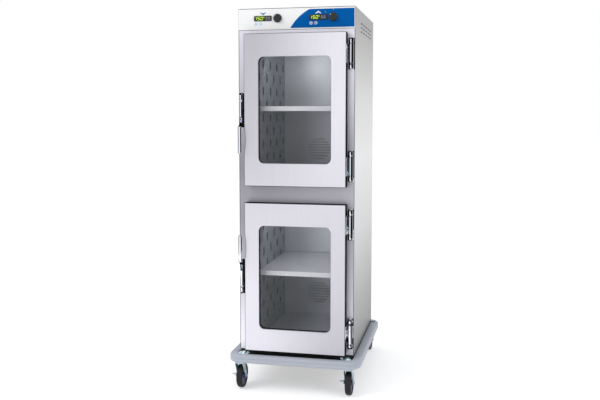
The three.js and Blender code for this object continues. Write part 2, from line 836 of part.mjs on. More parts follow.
function hingeDoorLeaf() {
  const plateFrom = -hingeReach + touch;
  const leafFront = doorFront + hingeForward + doorEdgeRadius + touch;
  const leafBack = hingeForward - gasketThickness - hingeLeaf;
  const solids = [
    box(plateFrom, plateFrom + hingeLeaf, leafFront, leafBack, -knuckleHalf, knuckleHalf),
    box(plateFrom, 0, -barrelNeck, barrelNeck / 2, -knuckleHalf, knuckleHalf),
    toSolid(cylinder(barrelRadius, -knuckleHalf, knuckleHalf, 8)),
  ];
  return cut(join(...solids), toSolid(cylinder(pinRadius + 2 * running, -hingeHalf, hingeHalf, 6)));
}

// Doors, drawn at their own height with z from the door's bottom edge: a steel skin in front, and behind it a
// black moulded pan that forms the door's sides, the window's tunnel and the seat of the gasket
function doorOutline(inset, leverSide) {
  const [left, right] = [doorLeft + inset, doorRight - inset];
  const [bottom, top] = [inset, doorHeight - inset];
  const scoopMiddle = doorHeight / 2 + leverSide * (latchLength / 2 + scoopLength / 2);
  const scoopRadius = (scoopLength ** 2 / 4 + scoopDepth ** 2) / (2 * scoopDepth);
  const centreX = doorLeft + scoopDepth - scoopRadius;
  const span = Math.acos((left - centreX) / (scoopRadius + inset));
  const shape = new THREE.Shape();
  shape.moveTo(left, bottom).lineTo(right, bottom).lineTo(right, top).lineTo(left, top);
  shape.absarc(centreX, scoopMiddle, scoopRadius + inset, span, -span, true);
  return shape;
}

function windowOutline(grow) {
  return rectangle(
    doorLeft + windowSideMargin - grow,
    doorRight - windowSideMargin + grow,
    windowEndMargin - grow,
    doorHeight - windowEndMargin + grow,
    windowRadius + grow,
  );
}

const skinBack = doorFront + skinReturn;
const glassFront = doorFront + sheet + touch;
const glassBack = glassFront + glassThickness;

function doorSkin(leverSide) {
  const slab = prismY(doorOutline(0, leverSide), doorFront, 0, { bevel: doorEdgeRadius, bevelSteps: 1 });
  const behind = box(-bodyWidth, bodyWidth, skinBack, past, -past, doorHeight + past);
  const room = prismY(doorOutline(sheet, leverSide), doorFront + sheet, skinBack + past);
  const window = prismY(windowOutline(0), doorFront - past, doorFront + 2 * sheet);
  const rimOutline = ringOf(windowOutline(rimWidth), windowOutline(0));
  const rimFront = doorFront - rimHeight;
  const rim = prismY(rimOutline, rimFront, doorFront + sheet, { bevel: rimHeight, bevelSteps: 1 });
  return join(cut(slab, behind, room, window), rim);
}

function doorInnerPan(leverSide) {
  const back = -gasketThickness;
  const wallFront = skinBack + touch;
  const wallBack = back - panWall / 2;
  const lip = ringOf(doorOutline(sheet + touch, leverSide), doorOutline(panWall, leverSide));
  const wall = ringOf(doorOutline(0, leverSide), doorOutline(panWall, leverSide));
  const tunnel = ringOf(windowOutline(tunnelStep + tunnelWall), windowOutline(tunnelStep));
  const plate = ringOf(doorOutline(0, leverSide), windowOutline(tunnelStep));
  return join(
    prismY(plate, back - panWall, back),
    prismY(wall, wallFront, wallBack),
    prismY(lip, wallFront - panLip, wallFront + panLip),
    prismY(tunnel, glassBack + touch, wallBack),
  );
}

function doorGlass() {
  return prismY(windowOutline(glassOverlap), glassFront, glassBack);
}

function doorGasket() {
  const ring = (inset) => rectangle(
    doorLeft + inset,
    doorRight - inset,
    inset,
    doorHeight - inset,
    gasketWidth + gasketInset + gasketCorner - inset,
  );
  const shape = ringOf(ring(gasketInset), ring(gasketInset + gasketWidth));
  return prismY(shape, touch - gasketThickness, -touch, { steps: 2 });
}

// Latches on the door's edge, drawn round the middle of the housing. The lever points to leverSide along Z.
function latchHousing(leverSide) {
  const end = latchLength / 2;
  const depth = (latchFront - latchBack) / 2;
  const side = new THREE.Shape();
  side.absellipse(-latchBack - depth, end - latchRounding, depth, latchRounding, 0, Math.PI);
  side.absellipse(-latchBack - depth, latchRounding - end, depth, latchRounding, Math.PI, Math.PI * 2);
  const body = prismX(side, -latchWidth / 2, latchWidth / 2, { bevel: latchEdge, steps: 6, bevelSteps: 1 });
  const base = box(
    latchWidth / 2 - latchEdge,
    latchWidth / 2 + latchBase,
    -latchFront + depth,
    -latchBack - latchEdge,
    -latchBaseLength / 2,
    latchBaseLength / 2,
  );
  const slotFrom = leverSide * (leverPivotRise - leverHub - 2 * running);
  const slotTo = leverSide * (end + past);
  const slotBack = -latchBack - depth + leverHub + 2 * running;
  const slot = box(
    -leverSlot / 2,
    leverSlot / 2,
    -latchFront - past,
    slotBack,
    Math.min(slotFrom, slotTo),
    Math.max(slotFrom, slotTo),
  );
  const pinHalf = latchWidth / 2 - pivotInset;
  const pin = cylinder(pinRadius, -pinHalf, pinHalf, 8);
  const pivot = alongX(pin).translate(0, -latchBack - depth, leverSide * leverPivotRise);
  return join(cut(join(body, base), slot), toSolid(pivot));
}

function latchLever(leverSide) {
  const end = latchLength / 2;
  const pivotY = -latchBack - (latchFront - latchBack) / 2;
  const gripFace = -leverFront;
  const gripBack = gripFace + leverThickness;
  const gripStart = end - leverHub;
  const gripEnd = end + leverLength;
  const arm = new THREE.Shape();
  arm.moveTo(pivotY + leverHub, leverSide * leverPivotRise);
  arm.lineTo(pivotY + leverHub / 2, leverSide * (leverPivotRise + 2 * leverHub));
  arm.quadraticCurveTo(gripBack, leverSide * end, gripBack, leverSide * (end + 2 * leverHub));
  arm.lineTo(gripFace + gripEdge, leverSide * (end + 2 * leverHub));
  arm.lineTo(gripFace + gripEdge, leverSide * gripStart);
  arm.lineTo(pivotY - leverHub, leverSide * leverPivotRise);
  const hub = toSolid(alongX(cylinder(leverHub, -leverArm / 2, leverArm / 2, 8))
    .translate(0, pivotY, leverSide * leverPivotRise));
  const [low, high] = leverSide > 0 ? [gripStart, gripEnd] : [-gripEnd, -gripStart];
  const grip = prismY(
    rectangle(-leverWidth / 2, leverWidth / 2, low, high, gripCorner),
    gripFace,
    gripBack,
    { bevel: gripEdge, bevelSteps: 1 },
  );
  const bore = alongX(cylinder(pinRadius + running, -leverSlot, leverSlot, 8));
  return cut(
    join(prismX(arm, -leverArm / 2, leverArm / 2), hub, grip),
    toSolid(bore.translate(0, pivotY, leverSide * leverPivotRise)),
  );
}

// Base: a welded frame of cross members and side rails, and a bumper wrapped round it
const bumperHalf = halfWidth + bumperSide;
const bumperStart = -bumperFront;
const bumperEnd = bodyDepth + bumperRear;
const railHalf = halfWidth - touch;

function bumperOutline(inset) {
  return rectangle(
    inset - bumperHalf,
    bumperHalf - inset,
    bumperStart + inset,
    bumperEnd - inset,
    bumperRadius - inset,
  );
}

// Its lip hangs round the caster plates, which sit against the underside
function bumper() {
  const inner = rectangle(
    -halfWidth,
    halfWidth,
    bumperStart + bumperRail,
    bumperEnd - bumperRail,
    bumperRadius - bumperRail,
  );
  const ring = prismZ(ringOf(bumperOutline(0), inner), bumperBottom, bumperTop, {
    bevel: bumperEdge,
    steps: 5,
    bevelSteps: 1,
  });
  const middle = bumperBottom + bumperHeight / 2;
  const grooveShape = ringOf(bumperOutline(-past), bumperOutline(bumperGroove));
  const groove = prismZ(grooveShape, middle - grooveHeight / 2, middle + grooveHeight / 2, { steps: 5 });
  const underside = prismZ(bumperOutline(skirtWall), bumperBottom - past, plateSeat, { steps: 5 });
  return cut(ring, groove, underside);
}

// A ladder under the body, with a low apron that closes the gap behind the front bumper between the casters
function baseFrame() {
  const low = deckTop - crossHeight;
  const deck = (inset) => rectangle(
    inset - railHalf,
    railHalf - inset,
    inset,
    bodyDepth - inset,
    bumperRadius - bumperRail - inset,
  );
  const pitch = (bodyDepth - crossWidth) / (crossCount - 1);
  const bays = (grow) => {
    const side = railHalf - crossWidth + grow;
    return Array.from({ length: crossCount - 1 }, (_, bay) => {
      const from = bay * pitch + crossWidth - grow;
      const to = (bay + 1) * pitch + grow;
      return box(-side, side, from, to, low - past, deckTop + past);
    });
  };
  const hollow = cut(prismZ(deck(crossWall), low - past, deckTop - crossWall), ...bays(crossWall));
  const ladder = cut(prismZ(deck(0), low, deckTop), ...bays(0), hollow);
  const apronFrom = bumperStart + bumperRail + touch;
  const apronSide = bumperHalf - casterSideInset - plateInner - apronGap;
  const apron = box(-apronSide, apronSide, apronFrom, crossWall / 2, low, low + apronThickness);
  return join(ladder, apron);
}

// Casters, drawn round their swivel axis with the floor at z = 0 and the wheel trailing along +Y
const plateBottom = casterHeight - plateThickness;
const crownTop = plateBottom - raceHeight - running;
const crownBottom = crownTop - crownThickness;
const legInside = hubWidth / 2 + legGap;
const legOutside = legInside + legThickness;

// A plate reaches further towards the cabinet's middle, which lies towards inX and inY
function casterPlate(inX, inY) {
  const sides = [-plateOuter * inX, plateInner * inX];
  const ends = [-plateNear * inY, plateFar * inY];
  const outline = rectangle(
    Math.min(...sides),
    Math.max(...sides),
    Math.min(...ends),
    Math.max(...ends),
    plateCorner,
  );
  const plate = prismZ(outline, plateBottom, casterHeight, { steps: 2 });
  const headTop = crownBottom - running;
  const profile = [
    [0, headTop - kingpinHead / 2],
    [kingpinHead, headTop - kingpinHead / 2],
    [kingpinHead, headTop],
    [kingpinRadius, headTop],
    [kingpinRadius, plateBottom - raceHeight],
    [raceRadius, plateBottom - raceHeight],
    [raceRadius, plateBottom + plateThickness / 2],
    [0, plateBottom + plateThickness / 2],
  ];
  return join(plate, toSolid(revolve(profile, kingpinSides)));
}

// A pressed channel: its side view carried across, then opened for the wheel
function casterFork(braked) {
  const side = new THREE.Shape();
  side.moveTo(crownHalf, crownTop).lineTo(-crownHalf, crownTop);
  side.lineTo(-crownHalf, crownBottom - crownThickness);
  side.lineTo(trail - legEnd, wheelRadius);
  side.absarc(trail, wheelRadius, legEnd, Math.PI, Math.PI * 2);
  side.lineTo(crownHalf, crownBottom - 2 * crownThickness);
  const room = box(-legInside, legInside, -casterHeight, casterHeight, 0, crownBottom);
  const holeRadius = (kingpinRadius + running) / Math.cos(Math.PI / kingpinSides); // its flats clear the pin
  const kingpinHole = cylinder(holeRadius, 0, casterHeight, kingpinSides);
  const channel = cut(prismX(side, -legOutside, legOutside), room, toSolid(kingpinHole));
  const brakeRoom = braked ? brakeThickness + 2 * running : 0;
  const leftStart = -legOutside - brakeRoom;
  const fixings = [
    cylinder(axleRadius, leftStart - nutLength - axleTip, legOutside + nutLength + axleTip, 8),
    cylinder(nutRadius, legOutside - nutSeat, legOutside + nutLength, 6),
    cylinder(nutRadius, leftStart - nutLength, braked ? leftStart : leftStart + nutSeat, 6),
  ];
  return join(
    channel,
    ...fixings.map((geometry) => toSolid(alongX(geometry).translate(0, trail, wheelRadius))),
  );
}

function casterWheel() {
  const [half, hub, rim] = [treadWidth / 2, hubWidth / 2, wheelRadius - tyreDepth];
  const bore = axleRadius + running;
  const right = [
    [bore, hub],
    [hubRadius, hub],
    [rim, rimHalfWidth],
    [wheelRadius - tyreRadius, half],
    [wheelRadius, treadFlat],
  ];
  const left = right.map(([radius, height]) => [radius, -height]);
  const profile = [...left, ...right.reverse(), left[0]];
  return toSolid(alongX(revolve(profile, 16)).translate(0, trail, wheelRadius));
}

// Side brake: a cam lever on the axle's left end, with a tread to step on
function casterBrake() {
  const far = -legOutside - running - brakeThickness;
  const arm = new THREE.Shape();
  arm.absarc(trail, wheelRadius, brakeHub, -Math.PI / 2, Math.PI / 2);
  arm.lineTo(trail - brakeArm, wheelRadius + brakeRise + brakeThickness);
  arm.lineTo(trail - brakeArm, wheelRadius + brakeRise / 3);
  arm.lineTo(trail, wheelRadius - brakeHub);
  const tread = box(
    far - brakeTread,
    far + brakeThickness,
    trail - brakeArm - brakeThickness,
    trail - brakeArm + nutRadius,
    wheelRadius + brakeRise,
    wheelRadius + brakeRise + brakeThickness,
  );
  const bore = alongX(cylinder(axleRadius + running, far - past, far + brakeThickness + past));
  return cut(
    join(prismX(arm, far, far + brakeThickness), tread),
    toSolid(bore.translate(0, trail, wheelRadius)),
  );
}

// Assembly
const cabinet = new THREE.Group();
const body = addGroup(cabinet, 0, frontPlane, 0);

addMesh(body, 'outer_casing', outerCasing(), stainless);
addMesh(body, 'top_cover', topCover(), stainless);
addMesh(body, 'rear_cover', rearCover(), galvanised);
addMesh(body, 'cord_gland', cordGland(), blackPlastic);
addMesh(body, 'front_frame', frontFrame(), stainless);
addMesh(body, 'control_fascia', controlFascia(), whiteFascia);
addMesh(body, 'base_frame', baseFrame(), blackPaint);
addMesh(body, 'bumper_rail', bumper(), bumperVinyl);

const levels = [
  { name: 'lower', doorBottom: lowerDoorBottom, leverSide: 1, displayX: lowerDisplayX },
  { name: 'upper', doorBottom: upperDoorBottom, leverSide: -1, displayX: upperDisplayX },
];

for (const { name, doorBottom, leverSide, displayX } of levels) {
  const floor = chamberFloor(doorBottom);
  addMesh(body, `${name}_chamber_liner`, chamberLiner(doorBottom), stainless);
  addMesh(body, `${name}_left_duct_panel`, ductPanel(doorBottom, -1), stainless);
  addMesh(body, `${name}_right_duct_panel`, ductPanel(doorBottom, 1), stainless);
  addMesh(body, `${name}_shelf`, shelf(doorBottom), stainless);
  addMesh(body, `${name}_fan_motor`, fanMotor(floor), galvanised);
  addMesh(body, `${name}_fan_wheel`, fanWheel(floor), galvanised);
  addMesh(body, `${name}_heater`, heater(floor), elementSteel);
  addMesh(body, `${name}_display`, displayUnit(displayX), blackPlastic);

  const knobSeat = addGroup(body, switchX(displayX), fasciaFront - touch, controlMiddle);
  addMesh(knobSeat, `${name}_knob`, knob(), blackPlastic);

  const door = addGroup(body, 0, 0, doorBottom);
  addMesh(door, `${name}_door_skin`, doorSkin(leverSide), stainless);
  addMesh(door, `${name}_door_inner_pan`, doorInnerPan(leverSide), blackPlastic);
  addMesh(door, `${name}_door_glass`, doorGlass(), glassFinish);
  addMesh(door, `${name}_door_gasket`, doorGasket(), blackRubber);
  for (const [end, z] of [['bottom', hingeInset], ['top', doorHeight - hingeInset]]) {
    const hinge = addGroup(door, hingeX, -hingeForward, z);
    addMesh(hinge, `${name}_${end}_hinge_frame_leaf`, hingeFrameLeaf(), chrome);
    addMesh(hinge, `${name}_${end}_hinge_door_leaf`, hingeDoorLeaf(), chrome);
  }
  const latch = addGroup(door, latchMiddle, 0, doorHeight / 2);
  addMesh(latch, `${name}_latch_housing`, latchHousing(leverSide), chrome);
  addMesh(latch, `${name}_latch_lever`, latchLever(leverSide), chrome);
}

const casters = [
  { name: 'front_left', x: casterSideInset - bumperHalf, y: casterFrontY, braked: true },
  { name: 'front_right', x: bumperHalf - casterSideInset, y: casterFrontY, braked: true },
  { name: 'rear_left', x: casterSideInset - bumperHalf, y: casterRearY, braked: false },
  { name: 'rear_right', x: bumperHalf - casterSideInset, y: casterRearY, braked: false },
];

for (const { name, x, y, braked } of casters) {
  const caster = addGroup(body, x, y, 0);
  addMesh(caster, `${name}_caster_plate`, casterPlate(-Math.sign(x), Math.sign(bodyDepth / 2 - y)), zinc);
  addMesh(caster, `${name}_caster_fork`, casterFork(braked), zinc);
  addMesh(caster, `${name}_caster_wheel`, casterWheel(), wheelRubber);
  if (braked) addMesh(caster, `${name}_caster_brake`, casterBrake(), zinc);
}

export default cabinet;
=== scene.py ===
# %% [markdown]
# # Dressing a blanket warming cabinet
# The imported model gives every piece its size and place. This lesson gives the pieces their looks: brushed
# steel doors, chrome hinges and latches, a printed control panel, a vinyl bumper and rubber wheels.
# A piece whose solid is already right keeps it and gets a finish. A piece that is round or soft-edged on the
# real cabinet is modelled again, in the same place, and rides on the same body.

import json
import math

import bmesh
import bpy
from mathutils import Matrix, Vector


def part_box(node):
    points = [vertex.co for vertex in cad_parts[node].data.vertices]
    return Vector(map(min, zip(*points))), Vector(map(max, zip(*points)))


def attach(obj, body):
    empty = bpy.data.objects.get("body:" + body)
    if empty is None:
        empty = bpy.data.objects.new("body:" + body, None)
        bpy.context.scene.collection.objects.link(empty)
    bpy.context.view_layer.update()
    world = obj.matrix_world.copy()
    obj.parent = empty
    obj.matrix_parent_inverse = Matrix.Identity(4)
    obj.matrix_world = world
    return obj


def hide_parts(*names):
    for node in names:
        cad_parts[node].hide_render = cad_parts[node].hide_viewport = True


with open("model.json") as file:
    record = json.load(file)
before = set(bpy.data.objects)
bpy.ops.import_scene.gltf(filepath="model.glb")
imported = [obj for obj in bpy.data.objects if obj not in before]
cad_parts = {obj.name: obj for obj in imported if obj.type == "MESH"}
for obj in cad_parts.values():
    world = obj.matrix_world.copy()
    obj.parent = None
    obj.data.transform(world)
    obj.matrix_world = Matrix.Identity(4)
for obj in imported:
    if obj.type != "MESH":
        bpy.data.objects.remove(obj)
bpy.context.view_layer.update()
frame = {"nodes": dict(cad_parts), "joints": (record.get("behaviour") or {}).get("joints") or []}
nodes = frame["nodes"]
LEVELS = ("lower", "upper")
CORNERS = ("front_left", "front_right", "rear_left", "rear_right")
MM = 0.001
pivot = {joint["name"]: Vector(joint["pos_m"]) / MM for joint in frame["joints"]}


def node_box(node):
    """Lowest and highest corner of a node, in millimetres."""
    low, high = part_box(node)
    return low / MM, high / MM


# The frame's sheet is folded back by this much. Its box reaches further forward, to the latch strikes.
FRAME_FOLD = 6.0
front_plane = node_box("front_frame")[1].y - FRAME_FOLD
print("nodes:", len(nodes), "joints:", len(pivot))

# %% [markdown]
# ## The view
# The photograph was taken from a little right of the middle, at chest height, with the cabinet upright in
# the frame. A lens that is shifted keeps the uprights nearly parallel, as an architect's camera does. The
# camera's place, turn and lens were found by matching the corners of the body, doors, windows and wheels.

# %% Camera
EYE_PLACE = (858.0, -4239.7, 1415.8)
EYE_DIP = 4.421
EYE_TURN = 12.206
eye = bpy.data.cameras.new("photo_eye")
eye.sensor_width = 36.0
eye.lens = 46.88
eye.shift_y = -0.04
camera = bpy.data.objects.new("photo_eye", eye)
camera.location = Vector(EYE_PLACE) * MM
camera.rotation_euler = (math.radians(90 - EYE_DIP), 0.0, math.radians(EYE_TURN))
bpy.context.scene.collection.objects.link(camera)
bpy.context.scene.camera = camera
bpy.context.scene.view_settings.view_transform = "Standard"
print("camera stands", round(camera.location.length, 2), "m from the origin")

# %% [markdown]
# ## Studio
# Steel shows what stands round it, so the studio is as much a part of its look as its own colour. The room
# is white to the camera and to mirror-like surfaces, and somewhat dimmer as a light, so that a soft lamp from
# the front left and a weaker one from the right can still model the edges. A small lamp lights each chamber.
# A tent of black and grey walls, with a ceiling, a rug and two mats, stands round it out of the camera's
# sight: chrome needs something dark to reflect, or it looks like white plastic. Only perfectly bright chrome
# sees the tent, so the brushed panels stay even.

# %% World
def preset(node, **values):
    """Sets a node's constants. An underscore in a name stands for a blank."""
    for socket, value in values.items():
        node.inputs[socket.replace("_", " ")].default_value = value


def feed(tree, socket, value):
    """Gives a socket its value: a link from another socket, or a constant."""
    if isinstance(value, bpy.types.NodeSocket):
        tree.links.new(value, socket)
    else:
        socket.default_value = value


def reckon(tree, operation, first, second=0.0):
    """A sum on two values, each a socket or a number."""
    node = tree.nodes.new("ShaderNodeMath")
    node.operation = operation
    feed(tree, node.inputs[0], first)
    feed(tree, node.inputs[1], second)
    return node.outputs[0]


def seen_directly(tree):
    """1 for what the camera sees, also in a mirror or through glass, and 0 for what only sends light."""
    path = tree.nodes.new("ShaderNodeLightPath")
    mirror = reckon(tree, "MAXIMUM", path.outputs["Is Glossy Ray"], path.outputs["Is Transmission Ray"])
    return reckon(tree, "MAXIMUM", path.outputs["Is Camera Ray"], mirror)


def shader_choice(tree, share, first, second):
    """The first shader where the share is 0, the second where it is 1."""
    choose = tree.nodes.new("ShaderNodeMixShader")
    tree.links.new(share, choose.inputs[0])
    tree.links.new(first.outputs[0], choose.inputs[1])
    tree.links.new(second.outputs[0], choose.inputs[2])
    return choose.outputs[0]


world = bpy.data.worlds.new("studio")
world.use_nodes = True
bpy.context.scene.world = world
tree = world.node_tree
tree.nodes.clear()
room_light = tree.nodes.new("ShaderNodeBackground")
preset(room_light, Color=(0.97, 0.98, 1.0, 1.0), Strength=0.66)
white_room = tree.nodes.new("ShaderNodeBackground")
preset(white_room, Color=(1.0, 1.0, 1.0, 1.0), Strength=1.0)
room_out = tree.nodes.new("ShaderNodeOutputWorld")
room = shader_choice(tree, seen_directly(tree), room_light, white_room)
tree.links.new(room, room_out.inputs["Surface"])
print("world light", room_light.inputs["Strength"].default_value)

# %% Lamps
def soft_lamp(name, place, aim, side, watts):
    """A square lamp that points from its place to its aim."""
    lamp = bpy.data.lights.new(name, "AREA")
    lamp.shape = "SQUARE"
    lamp.size = side
    lamp.energy = watts
    stand = bpy.data.objects.new(name, lamp)
    stand.location = place
    stand.rotation_euler = (Vector(aim) - Vector(place)).to_track_quat("-Z", "Y").to_euler()
    stand.visible_camera = False
    bpy.context.scene.collection.objects.link(stand)


soft_lamp("key_lamp", place=(-3.2, -2.9, 3.8), aim=(0.0, -0.2, 0.9), side=2.6, watts=84.0)
soft_lamp("right_lamp", place=(3.4, -1.8, 2.6), aim=(0.2, 0.0, 0.9), side=2.0, watts=22.0)
for chamber in LEVELS:
    lamp_z = node_box(f"{chamber}_chamber_liner")[1].z * MM - 0.06
    below = lamp_z - 0.3
    soft_lamp(f"{chamber}_chamber_lamp", (-0.12, -0.26, lamp_z), (0.26, 0.16, below), side=0.16, watts=0.42)
print("lamps:", len(bpy.data.lights))

# %% Floor
def as_object(form, name):
    """Hands a form to a new object in the scene."""
    mesh = bpy.data.meshes.new(name)
    form.to_mesh(mesh)
    form.free()
    made = bpy.data.objects.new(name, mesh)
    bpy.context.scene.collection.objects.link(made)
    return made


def stage_sheet(name, across, along, place, paint):
    """A level rectangle in the studio."""
    sheet = bmesh.new()
    bmesh.ops.create_grid(sheet, x_segments=1, y_segments=1, size=0.5)
    size = Matrix.Diagonal((across, along, 1.0, 1.0))
    bmesh.ops.transform(sheet, matrix=Matrix.Translation(place) @ size, verts=sheet.verts)
    made = as_object(sheet, name)
    made.data.materials.append(paint)
    return made


FLOOR_GLOW = 0.42
floor_paint = bpy.data.materials.new("pale_floor")
floor_paint.use_nodes = True
tree = floor_paint.node_tree
shader = tree.nodes["Principled BSDF"]
preset(shader, Base_Color=(0.92, 0.92, 0.92, 1.0), Roughness=0.9, Specular_IOR_Level=0.1)
preset(shader, Emission_Color=(1.0, 1.0, 1.0, 1.0))
glow = reckon(tree, "MULTIPLY", seen_directly(tree), FLOOR_GLOW)
tree.links.new(glow, shader.inputs["Emission Strength"])
stage_sheet("floor", 60.0, 60.0, (0.0, 0.0, 0.0), floor_paint)
print("floor glow", FLOOR_GLOW)

# %% Tent
TENT_REACH = 3.0
TENT_FOOT = 0.15
TENT_TOP = 3.2


def mirror_only_paint(name, grey):
    """A paint that only perfectly bright chrome sees. Everything else looks through it."""
    made = bpy.data.materials.new(name)
    made.use_nodes = True
    tree = made.node_tree
    tree.nodes.clear()
    path = tree.nodes.new("ShaderNodeLightPath")
    unseen = tree.nodes.new("ShaderNodeBsdfTransparent")
    shown = tree.nodes.new("ShaderNodeEmission")
    preset(shown, Color=(grey, grey, 1.05 * grey, 1.0))
    out = tree.nodes.new("ShaderNodeOutputMaterial")
    surface = shader_choice(tree, path.outputs["Is Singular Ray"], unseen, shown)
    tree.links.new(surface, out.inputs["Surface"])
    return made


def tent_wall(name, first, last, paint):
    """Part of a round wall between two directions, in degrees to the right of straight ahead."""
    wall = bmesh.new()
    ends = [wall.verts.new((0.0, -TENT_REACH, z)) for z in (TENT_FOOT, TENT_TOP)]
    start = Matrix.Rotation(math.radians(first), 3, "Z")
    bmesh.ops.rotate(wall, cent=(0.0, 0.0, 0.0), matrix=start, verts=ends)
    bmesh.ops.spin(
        wall,
        geom=ends + [wall.edges.new(ends)],
        cent=(0.0, 0.0, 0.0),
        axis=(0.0, 0.0, 1.0),
        angle=math.radians(last - first),
        steps=16,
    )
    made = as_object(wall, name)
    made.data.materials.append(paint)
    return made


black_side = mirror_only_paint("black_side", 0.006)
grey_side = mirror_only_paint("grey_side", 0.3)
grey_floor = mirror_only_paint("grey_floor", 0.15)
boards = [
    tent_wall("right_wall", 10.0, 84.0, black_side),
    tent_wall("back_wall", 84.0, 190.0, grey_side),
    tent_wall("left_wall", -170.0, -76.0, black_side),
    tent_wall("left_front_wall", -76.0, -48.0, grey_side),
    stage_sheet("dark_ceiling", 6.4, 6.4, (0.0, 0.0, TENT_TOP), black_side),
    stage_sheet("dark_rug", 1.9, 2.1, (0.0, 0.0, 0.004), black_side),
    stage_sheet("right_mat", 2.4, 3.6, (2.0, -0.9, 0.003), grey_floor),
    stage_sheet("left_mat", 1.9, 3.3, (-2.25, -0.05, 0.003), grey_floor),
]
for board in boards:
    board.visible_camera = False
    board.visible_diffuse = False
    board.visible_shadow = False
print("boards of the tent:", len(boards))

# %% [markdown]
# ## Finishes
# Every finish starts from two close tones of the real colour. A noise, read from the piece's own place and
# stretched along the grain, spreads the tones, shifts the roughness a little and gives a fine relief.
# Sheet steel is brushed upright on the doors and along the length elsewhere, so the same recipe with another
# stretch makes all of it. Some finishes also carry painted light and shade: a slow change of tone from place
# to place is a painted reflection of the room that large sheets mirror, and painted shade where less light
# falls. It is set along the height, once for the left and once for the right, and multiplies the tones.

# %% A recipe for finishes
def finish(name, dark, light, grain, rough, metallic=0.0, relief=0.0, depth=0.0004, detail=3.0, **fixed):
    """Two tones spread by a noise. The grain is in waves per metre, one for all or one each for X, Y, Z."""
    made = bpy.data.materials.new(name)
    made.use_nodes = True
    tree = made.node_tree
    shader = tree.nodes["Principled BSDF"]
    preset(shader, Metallic=metallic, **fixed)
    place = tree.nodes.new("ShaderNodeTexCoord")
    stretch = tree.nodes.new("ShaderNodeMapping")
    preset(stretch, Scale=(grain, grain, grain) if isinstance(grain, float) else grain)
    tree.links.new(place.outputs["Object"], stretch.inputs["Vector"])
    noise = tree.nodes.new("ShaderNodeTexNoise")
    preset(noise, Scale=1.0, Detail=detail, Roughness=0.6)
    tree.links.new(stretch.outputs[0], noise.inputs["Vector"])
    tones = tree.nodes.new("ShaderNodeValToRGB")
    for stop, position, tone in zip(tones.color_ramp.elements, (0.3, 0.7), (dark, light)):
        stop.position = position
        stop.color = (*tone, 1.0)
    tree.links.new(noise.outputs["Fac"], tones.inputs["Fac"])
    tree.links.new(tones.outputs["Color"], shader.inputs["Base Color"])
    spread = tree.nodes.new("ShaderNodeMapRange")
    preset(spread, From_Min=0.25, From_Max=0.75, To_Min=rough[0], To_Max=rough[1])
    tree.links.new(noise.outputs["Fac"], spread.inputs["Value"])
    tree.links.new(spread.outputs[0], shader.inputs["Roughness"])
    if relief:
        bump = tree.nodes.new("ShaderNodeBump")
        preset(bump, Strength=relief, Distance=depth)
        tree.links.new(noise.outputs["Fac"], bump.inputs["Height"])
        tree.links.new(bump.outputs["Normal"], shader.inputs["Normal"])
    return made


print("recipe ready")

# %% Painted light and shade by place
SHADE_TOP = 2.0


def own_place(tree):
    """Sockets for a point's X, Y and Z in the piece, in metres."""
    coordinates = tree.nodes.new("ShaderNodeTexCoord")
    place = tree.nodes.new("ShaderNodeSeparateXYZ")
    tree.links.new(coordinates.outputs["Object"], place.inputs[0])
    return place.outputs


def part_of_way(tree, value, low, high, pace):
    """0 at the low value, 1 at the high one."""
    along = tree.nodes.new("ShaderNodeMapRange")
    along.interpolation_type = pace
    preset(along, From_Min=low, From_Max=high)
    tree.links.new(value, along.inputs["Value"])
    return along.outputs[0]


def tone_ramp(tree, height, stops):
    """A grey that follows pairs of height in metres and tone."""
    ramp = tree.nodes.new("ShaderNodeValToRGB")
    elements = ramp.color_ramp.elements
    while len(elements) < len(stops):
        elements.new(0.5)
    for element, (z, tone) in zip(elements, stops):
        element.position = z / SHADE_TOP
        element.color = (tone, tone, tone, 1.0)
    tree.links.new(height, ramp.inputs["Fac"])
    return ramp.outputs["Color"]


def mixed(tree, share, first, second, blend="MIX"):
    """A colour part of the way from the first to the second, each a socket or a constant."""
    node = tree.nodes.new("ShaderNodeMix")
    node.data_type = "RGBA"
    node.blend_type = blend
    feed(tree, node.inputs["Factor"], share)
    feed(tree, node.inputs["A"], first)
    feed(tree, node.inputs["B"], second)
    return node.outputs["Result"]


def paint_over(tree, share, colour, blend="MIX"):
    """Lets a share of the base colour go over to another colour."""
    base = tree.nodes["Principled BSDF"].inputs["Base Color"]
    tree.links.new(mixed(tree, share, base.links[0].from_socket, colour, blend), base)


def even(tone):
    """One tone over the whole height."""
    return [(0.0, tone), (SHADE_TOP, tone)]


def paint_light_by_place(made, left_stops, right_stops=None, left=-0.26, right=0.26):
    """Paints light and shade: multiplies a finish's tones by greys set along the height, at the left and
    right.
    """
    tree = made.node_tree
    place = own_place(tree)
    height = part_of_way(tree, place["Z"], 0.0, SHADE_TOP, "LINEAR")
    grey = tone_ramp(tree, height, left_stops)
    if right_stops:
        across = part_of_way(tree, place["X"], left, right, "SMOOTHSTEP")
        grey = mixed(tree, across, grey, tone_ramp(tree, height, right_stops))
    paint_over(tree, 1.0, grey, "MULTIPLY")


print("tones by place ready")

# %% Painted duct shade and black door edges
def paint_duct_shade(made, panel):
    """Paints shade on the walls behind the slotted panels, near black, so that the slots read as openings."""
    tree = made.node_tree
    duct_face = abs(node_box(panel)[1].x) * MM + 0.001
    off_middle = reckon(tree, "ABSOLUTE", own_place(tree)["X"])
    paint_over(tree, reckon(tree, "GREATER_THAN", off_middle, duct_face), (0.012, 0.014, 0.018, 1.0))


def far_from(tree, value, middle, reach):
    """1 where a value is further from the middle than the reach, 0 elsewhere."""
    off = reckon(tree, "ABSOLUTE", reckon(tree, "SUBTRACT", value, middle))
    return reckon(tree, "GREATER_THAN", off, reach)


